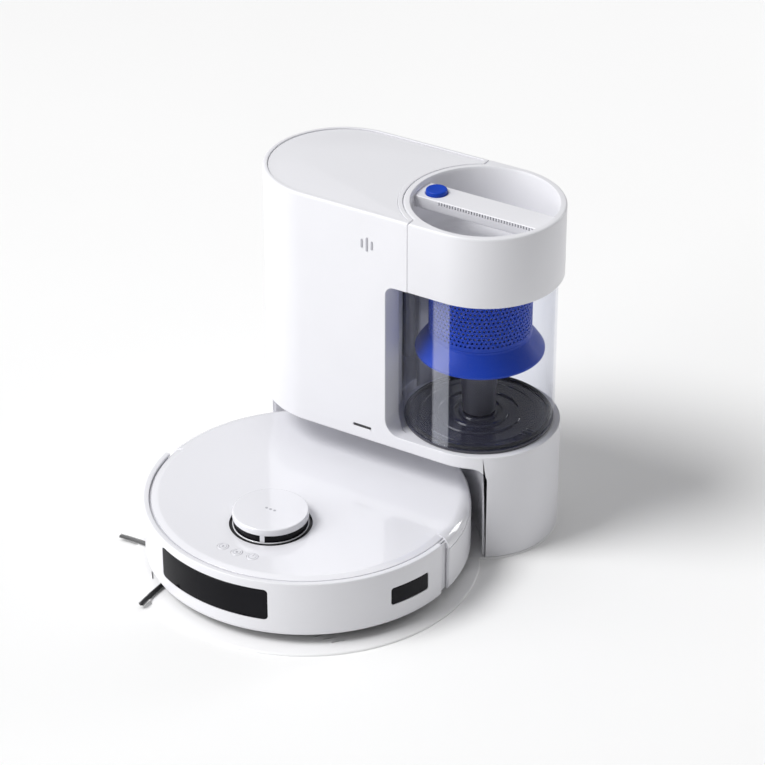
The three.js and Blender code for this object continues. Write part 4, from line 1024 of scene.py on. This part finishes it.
class VACUUM_OT_cyclone(bpy.types.Operator):
    """Builds the perforated shroud, the skirt under it, the grey cone and the bin's seal"""

    bl_idname = "vacuum.cyclone"
    bl_label = "Cyclone"

    def execute(self, context):
        sizes = context.scene.vacuum_station
        self.shroud(sizes)
        skirt = spun("skirt_blue", rounded_profile([
            (23.3, 233, 0), (51, 233, 2), (62, 218, 6), (66.8, 212.2, 0), (68.5, 212, 0.6),
            (68.5, 214.6, 0.8),
            (63.5, 222, 7), (54.6, 233.5, 2), (54.5, 236, 0.3), (23.3, 236, 0)], 6), (BIN_X, 0), 128)
        settle(smooth(skirt), "blue", "dust_bin", "cyclone_skirt")
        cone = spun("cone_grey", rounded_profile([
            (15.5, 137, 0), (17.5, 137, 0.6), (18.4, 160, 8), (22, 206, 10), (23, 232, 0), (23, 236, 0),
            (21, 236, 0), (20, 206, 10), (16.4, 160, 8)], 5), (BIN_X, 0), 96)
        settle(smooth(cone), "grey", "dust_bin", "cyclone_cone", finish="cone")
        seal = spun("bin_gasket",
            rounded_profile([(72.7, 306, 0.8), (77.7, 306, 0.8), (77.7, 309, 1.2), (72.7, 309, 1.2)],
            3), (BIN_X, 0), 128)
        settle(smooth(seal), "rubber", "dust_bin", "bin_seal")
        return {"FINISHED"}

    def shroud(self, sizes):
        radius = 0.0537
        pitch = 2 * pi * radius / sizes.hole_columns
        cell = self.cell(pitch * 1000, pitch * 1000 * sizes.hole_share / 2, 0.8)
        rows = sizes.hole_rows
        sheet = grown("perforated_wall", sheet_tree(), "blue", Piece=cell, Columns=sizes.hole_columns,
            Rows=rows, Radius=radius,
                      Pitch=pitch, Foot=0.2395 + pitch / 2, Middle=BIN_X / 1000)
        drop(cell)
        top = 239.5 + rows * pitch * 1000
        foot = spun("shroud_foot", [(52.9, 236.3), (54.5, 236.3), (54.5, 239.6), (52.9, 239.6)],
            (BIN_X, 0), 124)
        head = spun("shroud_head", rounded_profile([
            (52.9, top - 0.1, 0), (54.5, top - 0.1, 0), (54.5, 302.6, 1.5), (77.6, 302.6, 0),
            (77.6, 305.1, 0.5), (52.9, 305.1, 0.3)], 3), (BIN_X, 0), 124)
        settle(smooth(join(sheet, foot, head), 50), "blue", "dust_bin", "cyclone_shroud")

    def cell(self, pitch, radius, depth):
        """One square of the wall with a round hole through it."""
        mesh = bmesh.new()
        rings = []
        for y in (depth, -depth):
            square = []
            hole = []
            for k in range(8):
                angle = k * pi / 4
                reach = max(abs(cos(angle)), abs(sin(angle)))
                square.append(mesh.verts.new((cos(angle) / reach * pitch / 2, y,
                    sin(angle) / reach * pitch / 2)))
                hole.append(mesh.verts.new((cos(angle) * radius, y, sin(angle) * radius)))
            rings.append((square, hole))
        (front, front_hole), (back, back_hole) = rings
        for k in range(8):
            j = (k + 1) % 8
            mesh.faces.new((front[k], front[j], front_hole[j], front_hole[k]))
            mesh.faces.new((back[k], back_hole[k], back_hole[j], back[j]))
            mesh.faces.new((front_hole[k], front_hole[j], back_hole[j], back_hole[k]))
        bmesh.ops.scale(mesh, vec=(0.001, 0.001, 0.001), verts=mesh.verts[:])
        data = bpy.data.meshes.new("hole_cell")
        mesh.to_mesh(data)
        mesh.free()
        made = bpy.data.objects.new("hole_cell", data)
        bpy.context.scene.collection.objects.link(made)
        return made


class VACUUM_OT_bin_floor(bpy.types.Operator):
    """Builds the smoked drop-down floor of the bin with its rings and hinge, and the floor's seal"""

    bl_idname = "vacuum.bin_floor"
    bl_label = "Bin floor"

    def execute(self, context):
        z = 131.8
        rings = [(0, 128.3, 0), (79.5, 128.3, 0.8), (79.5, z, 0.5), (76.6, z, 0), (76.3, z + 1.6, 0.4),
            (75.2, z + 1.6, 0.4), (74.8, z, 0),
                 (63, z, 0), (62.6, z + 0.9, 0.3), (61.6, z + 0.9, 0.3), (61.2, z, 0), (46, z, 0),
                 (45.2, z + 2, 0.6), (43.4, z + 2, 0.6),
                 (42.6, z, 0), (33, z + 0.3, 0), (32, z + 2.4, 0.8), (25.5, z + 2.9, 0.5),
                 (24.6, z + 0.8, 0.3), (21.5, z + 0.8, 0.3),
                 (20.6, 135.3, 0.5), (14, 135.3, 0.5), (13, z, 0), (0, z, 0)]
        floor = spun("smoked_floor", rounded_profile(rings, 2), (BIN_X, 0), 128)
        for k in range(-2, 3):
            angle = radians(-17 + 6 * k)
            fin = prism("hinge_fin", lambda i: [(61 + i, -0.7 + i), (72.8 - i, -0.7 + i),
                (72.8 - i, 0.7 - i), (61 + i, 0.7 - i)], 131, 136 - abs(k), top=0.4)
            fin.data.transform(Matrix.Translation((BIN_X / 1000, 0, 0)) @ Matrix.Rotation(angle, 4, "Z"))
            join(floor, fin)
        settle(smooth(floor, 28), "smoke", "bin_floor", "bin_flap")
        seal = spun("floor_gasket",
            rounded_profile([(73.6, 132.2, 0.6), (77.0, 132.2, 0.6), (77.0, 134.6, 1.0),
            (73.6, 134.6, 1.0)], 3), (BIN_X, 0), 128)
        settle(smooth(seal), "rubber", "bin_floor", "flap_seal")
        return {"FINISHED"}


# ---- robot
class VACUUM_OT_cover(bpy.types.Operator):
    """Builds the robot's glossy top plate with its rounded rear shoulder"""

    bl_idname = "vacuum.cover"
    bl_label = "Top plate"

    def execute(self, context):
        slope = context.scene.vacuum_robot.plate_round * 1000
        front = rounded_profile([
            (0, 75, 0), (163.4, 75, 0), (163.4, 72.6, 0), (166.9, 72.6, 0), (166.9, 74.0, 0.3),
            (164.7, 74.0, 0),
            (164.7, 76.0, 0.6), (164.7 - slope, 78, 9), (0, 78, 0)], 6)
        plate = spun("plate_gloss", front, ROBOT, 224)
        rear = rounded_profile([
            (156, 75.2, 0), (162, 75.2, 0), (169.2, 70, 2), (169.2, 64, 0), (172.7, 64, 0.5),
            (172.7, 78, 12.8), (156, 78, 0)], 10)
        shoulder = spun("shoulder", rear, ROBOT, 224)
        cut(shoulder, box_tool("front_half", -400, 400, -500, ROBOT[1], 0, 200))
        cut(plate, shoulder, operation="UNION")
        tools = [disc_tool("turret_hole", *TURRET, 43.5, 0, 200, 96)]
        for step in (-1, 0, 1):
            tools.append(disc_tool("key_hole", *key_place(step), 6.3, 0, 200, 40))
        cut(plate, *tools)
        settle(smooth(merge(plate), 40), "gloss_white", "robot", "top_plate")
        return {"FINISHED"}


def key_place(step):
    return ROBOT[0] + step * KEY_SPACING, ROBOT[1] - KEY_Y + abs(step) * 1.5


def window_block(name, middle, half, z0, z1, inner, outer, corner):
    """A curved slab of the robot's wall with rounded corners, seen from outside."""
    radius = ROBOT_RADIUS
    width = radius * half
    outline = filleted([(-width, z0, corner), (width, z0, corner), (width, z1, corner),
        (-width, z1, corner)], 6)
    dense = []
    for (x0, h0), (x1, h1) in zip(outline, outline[1:] + outline[:1]):
        pieces = max(1, ceil(abs(x1 - x0) / 4))
        dense += [(x0 + (x1 - x0) * k / pieces, h0 + (h1 - h0) * k / pieces) for k in range(pieces)]

    def ring(reach, shrink=0.0):
        rows = []
        for x, h in dense:
            angle = middle + x * (1 - shrink / width) / radius
            rows.append((ROBOT[0] + reach * cos(angle), ROBOT[1] + reach * sin(angle),
                (h - (z0 + z1) / 2) * (1 - 2 * shrink / (z1 - z0)) + (z0 + z1) / 2))
        return rows

    mesh = bmesh.new()
    loops = [[mesh.verts.new(point) for point in row] for row in (ring(inner), ring(outer - 0.5),
        ring(outer, 0.5))]
    for low, high in zip(loops, loops[1:]):
        for i in range(len(low)):
            j = (i + 1) % len(low)
            mesh.faces.new((low[i], low[j], high[j], high[i]))
    for loop, top in ((loops[0], False), (loops[-1], True)):
        face = mesh.faces.new(loop)
        bmesh.ops.triangulate(mesh, faces=[face])
    return build(name, mesh)


class VACUUM_OT_bumper(bpy.types.Operator):
    """Builds the sprung bumper with its sensor windows, and the fixed side wall behind it"""

    bl_idname = "vacuum.bumper"
    bl_label = "Bumper"

    def execute(self, context):
        start = -pi / 2 - BUMPER_HALF_ANGLE
        end = -pi / 2 + BUMPER_HALF_ANGLE
        wall = rounded_profile([
            (169.5, 14, 0), (171.2, 14, 0.6), (173, 17.5, 1.2), (173, 77.2, 1.3), (167.2, 77.2, 0.8),
            (167.2, 74.2, 0), (169.5, 73, 0)], 5)
        bumper = spun("bumper_wall", wall, ROBOT, 180, start, end)
        cut(bumper,
            window_block("front_tool", FRONT_WINDOW_ANGLE, radians(23.3), 30.7, 67.3, 160, 180, 4.3),
            window_block("side_tool", SIDE_WINDOW_ANGLE, radians(8.1), 34.7, 55.3, 160, 180, 2.8))
        settle(soften(bumper, 0.0004, 2, 50), "shell_white", "robot_bumper", "bumper")
        front = window_block("front_window", FRONT_WINDOW_ANGLE, radians(23.1), 31.0, 67.0, 170, 172.9, 4.2)
        settle(smooth(front), "black_gloss", "robot_bumper", "window_front")
        side = window_block("side_window", SIDE_WINDOW_ANGLE, radians(7.9), 35.0, 55.0, 170, 172.9, 2.7)
        settle(smooth(side), "black_gloss", "robot_bumper", "window_side")
        self.side_wall()
        return {"FINISHED"}

    def side_wall(self):
        profile = rounded_profile([(169.5, 14, 0.3), (171.2, 14, 0.6), (173, 17.5, 1.2),
            (173, 63.7, 0.5), (169.5, 63.7, 0.3)], 4)
        wall = spun("side_wall", profile, ROBOT, 180, 0, pi)
        cut(wall, rod_tool("port_tool", (ROBOT[0], -20, PORT_Z), (ROBOT[0], 60, PORT_Z), 14))
        soften(wall, 0.0004, 2, 50)
        for middle in (0.0, pi):
            reveal = [(166.4, 15, 0.2), (168.6, 15, 0.2), (168.6, 72, 0.2), (166.4, 72, 0.2)]
            join(wall, spun("reveal", rounded_profile(reveal, 2), ROBOT, 10, middle - 0.14, middle + 0.14))
        settle(smooth(wall, 50), "shell_white", "robot", "side_shell")


class VACUUM_OT_turret(bpy.types.Operator):
    """Builds the laser turret: its seat, the black drum and the white lid on three posts"""

    bl_idname = "vacuum.turret"
    bl_label = "Laser turret"

    def execute(self, context):
        seat = rounded_profile([(0, 64, 0), (37, 64, 0), (37, 72, 0), (43.2, 72, 0), (43.2, 75.6, 0.8),
            (41.6, 76, 0.4), (0, 76, 0)], 4)
        settle(smooth(spun("turret_seat", seat, TURRET, 96)), "dark", "robot", "lidar_base")
        drum = spun("laser_drum",
            rounded_profile([(0, 76.4, 0), (34.6, 76.4, 0.6), (34.6, 85.2, 0.8), (0, 85.2, 0)], 4),
            TURRET, 96)
        eyes = [rod_tool("eye", (TURRET[0] + x, TURRET[1] - 50, 80.8),
            (TURRET[0] + x, TURRET[1] - 22, 80.8), 3.2) for x in (-9, 9)]
        settle(smooth(cut(drum, *eyes)), "black_gloss", "lidar", "lidar_rotor")
        self.lid()
        return {"FINISHED"}

    def lid(self):
        lid = spun("turret_lid", rounded_profile([(0, 87, 0), (40, 87, 0.6), (40, 94.5, 1.8),
            (0, 94.5, 0)], 6), TURRET, 128)
        ring = spun("turret_ring",
            rounded_profile([(35.8, 77.5, 0.3), (40, 77.5, 0.3), (40, 78.8, 0.5), (35.8, 78.8, 0.3)],
            3), TURRET, 128)
        posts = []
        for i in range(3):
            middle = -pi / 2 + 0.35 + i * 2 * pi / 3
            posts.append(spun("post", [(35.8, 78.4), (39.8, 78.4), (39.8, 87.6), (35.8, 87.6)], TURRET,
                6, middle - 0.062, middle + 0.062))
        cap = join(lid, ring, *posts)
        settle(smooth(cap), "gloss_white", "turret", "turret_cap")
        lens = spun("turret_window",
            rounded_profile([(37.4, 78.6, 0), (39.2, 78.6, 0), (39.2, 87.2, 0), (37.4, 87.2, 0)], 3),
            TURRET, 128)
        settle(smooth(lens), "black_gloss", "turret")
        marks = [disc_tool("lid_dot", TURRET[0] + 5 * i, TURRET[1], 1.5, 94.3, 94.62, 20) for i in (-1,
            0, 1)]
        settle(smooth(join(*marks)), "lens", "turret", finish="print")


class VACUUM_OT_keys(bpy.types.Operator):
    """Builds the three touch keys with plain printed symbols"""

    bl_idname = "vacuum.keys"
    bl_label = "Keys"

    def execute(self, context):
        for step, node, body in ((-1, "key_left", "key_l"), (0, "key_middle", "key_m"),
            (1, "key_right", "key_r")):
            x, y = key_place(step)
            key = spun(node + "_cap",
                rounded_profile([(0, 75.7, 0), (6, 75.7, 0), (6, 78.25, 0.5), (0, 78.25, 0)], 4),
                (x, y), 64)
            settle(smooth(key), "gloss_white", body, node)
            settle(smooth(self.symbol(step, x, y)), "lens", body, finish="print")
        return {"FINISHED"}

    def symbol(self, step, x, y):
        """A ring with a bar, a ring with a dot, or a ring with a roof."""
        ring = arc(x, y, 4.2, pi / 2 + 0.5, pi / 2 + 2 * pi - 0.5, 24) + arc(x, y, 3.7,
            pi / 2 + 2 * pi - 0.5, pi / 2 + 0.5, 24)
        parts = [prism("symbol", lambda i: ring, 78.1, 78.32)]
        if step < 0:
            shape = [(x - 0.9, y - 1.2), (x + 0.9, y - 1.2), (x + 0.9, y + 0.8), (x, y + 1.8),
                (x - 0.9, y + 0.8)]
        elif step == 0:
            shape = arc(x, y, 1.3, 0, 2 * pi, 16)[:-1]
        else:
            shape = [(x - 0.3, y + 0.6), (x + 0.3, y + 0.6), (x + 0.3, y + 4.6), (x - 0.3, y + 4.6)]
        parts.append(prism("symbol_part", lambda i: shape, 78.1, 78.32))
        return join(*parts)


class VACUUM_OT_side_brush(bpy.types.Operator):
    """Builds the side brush: a hub and four tufts of bristles"""

    bl_idname = "vacuum.side_brush"
    bl_label = "Side brush"

    def execute(self, context):
        sizes = context.scene.vacuum_robot
        hub = spun("brush_boss", rounded_profile([
            (0, 6.4, 0), (9.5, 6.4, 1), (13, 8.2, 1), (13, 11.7, 0.5), (4, 11.7, 0), (4, 24, 0),
            (0, 24, 0)], 4), BRUSH, 64)
        cut(hub, box_tool("screw_slot", BRUSH[0] - 3, BRUSH[0] + 3, BRUSH[1] - 0.6, BRUSH[1] + 0.6, 0, 7.4),
            box_tool("screw_slot", BRUSH[0] - 0.6, BRUSH[0] + 0.6, BRUSH[1] - 3, BRUSH[1] + 3, 0, 7.4))
        settle(smooth(hub), "dark", "side_brush", "brush_hub")
        collar = spun("brush_collar",
            rounded_profile([(13.3, 3.7, 0.6), (15.3, 3.7, 0.6), (15.3, 9.2, 0.6), (13.3, 9.2, 0.6)],
            3), BRUSH, 64)
        pieces = [collar]
        path = [(1 + 79 * t, 1.2 * t * t * t * 3 - 1.6 * t,
            0.4 * sin(3 * t)) for t in (k / 7 for k in range(8))]
        radius = sizes.hair_radius * 1000
        hair = tube("hair", path, [radius * (1 - 0.45 * k / 7) for k in range(8)], 4)
        for i in range(4):
            heading = radians(-1.5 - 90 * i)
            root = Vector((BRUSH[0] + 13.5 * cos(heading), BRUSH[1] + 13.5 * sin(heading), 4.9)) / 1000
            spread = (0.0007 + 0.0012 * abs(sin(heading)), 0.0007 + 0.0012 * abs(cos(heading)), 0.0009)
            pieces.append(grown("tuft", tuft_tree(), "bristle", Piece=hair, Count=sizes.hair_count,
                Centre=tuple(root), Spread=spread,
                                Lean=0.014, Heading=heading, Seed=11 + i))
            pieces.append(self.grip(heading))
        drop(hair)
        settle(smooth(join(*pieces)), "bristle", "side_brush", "brush_tufts")
        return {"FINISHED"}

    def grip(self, heading):
        """The moulded sleeve that holds the root of a tuft."""
        rings = []
        for reach, wide, tall in ((13.4, 3.2, 2.0), (22, 3.0, 1.9), (34, 2.3, 1.4), (36, 1.9, 1.1)):
            ring = []
            for k in range(12):
                angle = 2 * pi * k / 12
                across = wide * cos(angle)
                lift = 5.7 + tall * sin(angle)
                ring.append((BRUSH[0] + reach * cos(heading) - across * sin(heading),
                    BRUSH[1] + reach * sin(heading) + across * cos(heading), lift))
            rings.append(ring)
        return loft("grip", rings)


class VACUUM_OT_underside(bpy.types.Operator):
    """Builds the main roller, the wheels and the caster"""

    bl_idname = "vacuum.underside"
    bl_label = "Underside"

    def execute(self, context):
        self.roller()
        for side, letter in ((-1, "l"), (1, "r")):
            self.wheel(side, letter, context.scene.vacuum_robot.tread_count)
        caster = tube("caster_tyre",
            [(ROBOT[0] + x, ROBOT[1] - 125, 15.5) for x in (-6.4, -5.2, 5.2, 6.4)],
            [10.6, 12, 12, 10.6], 48)
        cut(caster, rod_tool("caster_bore", (ROBOT[0] - 20, ROBOT[1] - 125, 15.5),
            (ROBOT[0] + 20, ROBOT[1] - 125, 15.5), 2.1, 24))
        settle(smooth(caster), "grey", "caster_roll", "caster_wheel")
        return {"FINISHED"}

    def roller(self):
        """A core with six soft blades that sweep inwards from both ends."""
        y, z = ROBOT[1] - ROLLER_Y, ROLLER_Z
        rings = []
        stations = 48
        for i in range(stations + 1):
            x = -80 + 160 * i / stations
            twist = abs(x) / 80 * 0.9
            ring = []
            for k in range(72):
                angle = 2 * pi * k / 72
                blade = max(0.0, cos(6 * (angle - twist)))
                reach = 12.5 + 5.2 * blade ** 8
                ring.append((ROBOT[0] + x, y + reach * cos(angle), z + reach * sin(angle)))
            rings.append(ring)
        core = loft("roller_blades", rings)
        axle = tube("roller_axle", [(ROBOT[0] + x, y, z) for x in (-86, 86)], 2.5, 24)
        settle(smooth(join(core, axle), 50), "grey", "brush_roller", "main_roller")

    def wheel(self, side, letter, count):
        x, y, z = ROBOT[0] + side * WHEEL_X, ROBOT[1], WHEEL_Z
        tyre = tube("tyre", [(x + d, y, z) for d in (-11, -9.8, 9.8, 11)], [29.8, 31.6, 31.6, 29.8], 96)
        cut(tyre, rod_tool("tyre_bore", (x - 30, y, z), (x + 30, y, z), 27.2, 96))
        block = prism("tread", lambda i: filleted([(-10, -1.6, 0.6), (10, -1.6, 0.6), (10, 1.6, 0.6),
            (-10, 1.6, 0.6)], 2), 31.0, 33.0)
        treads = grown("treads", repeat_tree(), "rubber", Piece=block, Count=count,
            Centre=(x / 1000, y / 1000, z / 1000), Step=(0, 0, 0),
                       Turn=(2 * pi / count, 0, 0))
        drop(block)
        settle(smooth(join(tyre, treads)), "rubber", "wheel_" + letter, "tyre_" + letter)


class VACUUM_OT_frame_finishes(bpy.types.Operator):
    """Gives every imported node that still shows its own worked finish"""

    bl_idname = "vacuum.frame_finishes"
    bl_label = "Frame finishes"

    def execute(self, context):
        slots = {part["node"]: part["material_slot"] for part in frame["record"]["subparts"]}
        for name, node in frame["nodes"].items():
            node.data.materials.clear()
            node.data.materials.append(finish_for(slots[name]))
        return {"FINISHED"}


# ---- stage
class VACUUM_OT_stage(bpy.types.Operator):
    """Builds the floor, the lights and the camera"""

    bl_idname = "vacuum.stage"
    bl_label = "Stage"

    def execute(self, context):
        floor = loft("floor", [[(x, y, z) for x,
            y in ((-9000, -9000), (9000, -9000), (9000, 9000), (-9000, 9000))] for z in (-20, 0)])
        floor.data.materials.append(floor_finish())
        self.sun("key_sun", (-1.7, -1.7, 3.2), 26, 2.1)
        self.light("front_light", (-2.3, -2.9, 1.5), (3.0, 2.0), 52)
        self.light("top_light", (-0.6, 0.4, 3.4), (2.6, 2.6), 14)
        self.light("rim_light", (1.6, 2.9, 1.2), (0.6, 1.4), 16)
        self.world()
        self.camera()
        return {"FINISHED"}

    def aim(self, thing, place, target):
        thing.location = place
        thing.rotation_euler = (Vector(target) - Vector(place)).to_track_quat("-Z", "Y").to_euler()

    def light(self, name, place, size, power):
        data = bpy.data.lights.new(name, "AREA")
        data.shape = "RECTANGLE"
        data.size, data.size_y = size
        data.energy = power
        lamp = bpy.data.objects.new(name, data)
        bpy.context.scene.collection.objects.link(lamp)
        self.aim(lamp, place, (0, -0.05, 0.15))

    def sun(self, name, place, spread, strength):
        data = bpy.data.lights.new(name, "SUN")
        data.angle = radians(spread)
        data.energy = strength
        lamp = bpy.data.objects.new(name, data)
        bpy.context.scene.collection.objects.link(lamp)
        self.aim(lamp, place, (0, 0, 0))

    def world(self):
        world = bpy.data.worlds.new("studio")
        bpy.context.scene.world = world
        world.use_nodes = True
        back = world.node_tree.nodes["Background"]
        back.inputs[0].default_value = (1.0, 1.0, 1.0, 1.0)
        back.inputs[1].default_value = 0.25
        bpy.context.scene.view_settings.view_transform = "Standard"

    def camera(self):
        azimuth, elevation = radians(31.2), radians(31.0)
        back = Vector((sin(azimuth) * cos(elevation), -cos(azimuth) * cos(elevation), sin(elevation)))
        target = Vector((-0.0209, -0.0272, 0.150))
        data = bpy.data.cameras.new("camera")
        data.lens = 144.95
        data.sensor_width = 36.0
        data.clip_end = 60.0
        view = bpy.data.objects.new("camera", data)
        bpy.context.scene.collection.objects.link(view)
        self.aim(view, target + back * 3.3, target)
        bpy.context.scene.camera = view


class VACUUM_PT_panel(bpy.types.Panel):
    """Lists the pieces in the sidebar."""

    bl_label = "Vacuum"
    bl_idname = "VACUUM_PT_panel"
    bl_space_type = "VIEW_3D"
    bl_region_type = "UI"
    bl_category = "Vacuum"

    def draw(self, context):
        for group in (context.scene.vacuum_station, context.scene.vacuum_robot,
            context.scene.vacuum_finishes):
            box = self.layout.box()
            for name in group.__annotations__:
                box.prop(group, name)
        for operator in OPERATORS:
            self.layout.operator(operator.bl_idname)


SETTINGS = (StationSizes, RobotSizes, Finishes)
OPERATORS = (
    VACUUM_OT_frame_finishes, VACUUM_OT_station_shell, VACUUM_OT_station_top, VACUUM_OT_station_back,
    VACUUM_OT_bay,
    VACUUM_OT_tray, VACUUM_OT_bin_cap, VACUUM_OT_handle, VACUUM_OT_cup, VACUUM_OT_cyclone,
    VACUUM_OT_bin_floor,
    VACUUM_OT_cover, VACUUM_OT_bumper, VACUUM_OT_turret, VACUUM_OT_keys, VACUUM_OT_side_brush,
    VACUUM_OT_underside,
    VACUUM_OT_stage)


def register():
    for item in (*SETTINGS, *OPERATORS, VACUUM_PT_panel):
        bpy.utils.register_class(item)
    bpy.types.Scene.vacuum_station = PointerProperty(type=StationSizes)
    bpy.types.Scene.vacuum_robot = PointerProperty(type=RobotSizes)
    bpy.types.Scene.vacuum_finishes = PointerProperty(type=Finishes)


def unregister():
    del bpy.types.Scene.vacuum_finishes
    del bpy.types.Scene.vacuum_robot
    del bpy.types.Scene.vacuum_station
    for item in (VACUUM_PT_panel, *reversed(OPERATORS), *reversed(SETTINGS)):
        bpy.utils.unregister_class(item)


def main():
    register()
    for operator in OPERATORS:
        group, name = operator.bl_idname.split(".")
        getattr(getattr(bpy.ops, group), name)()


if __name__ == "__main__":
    main()
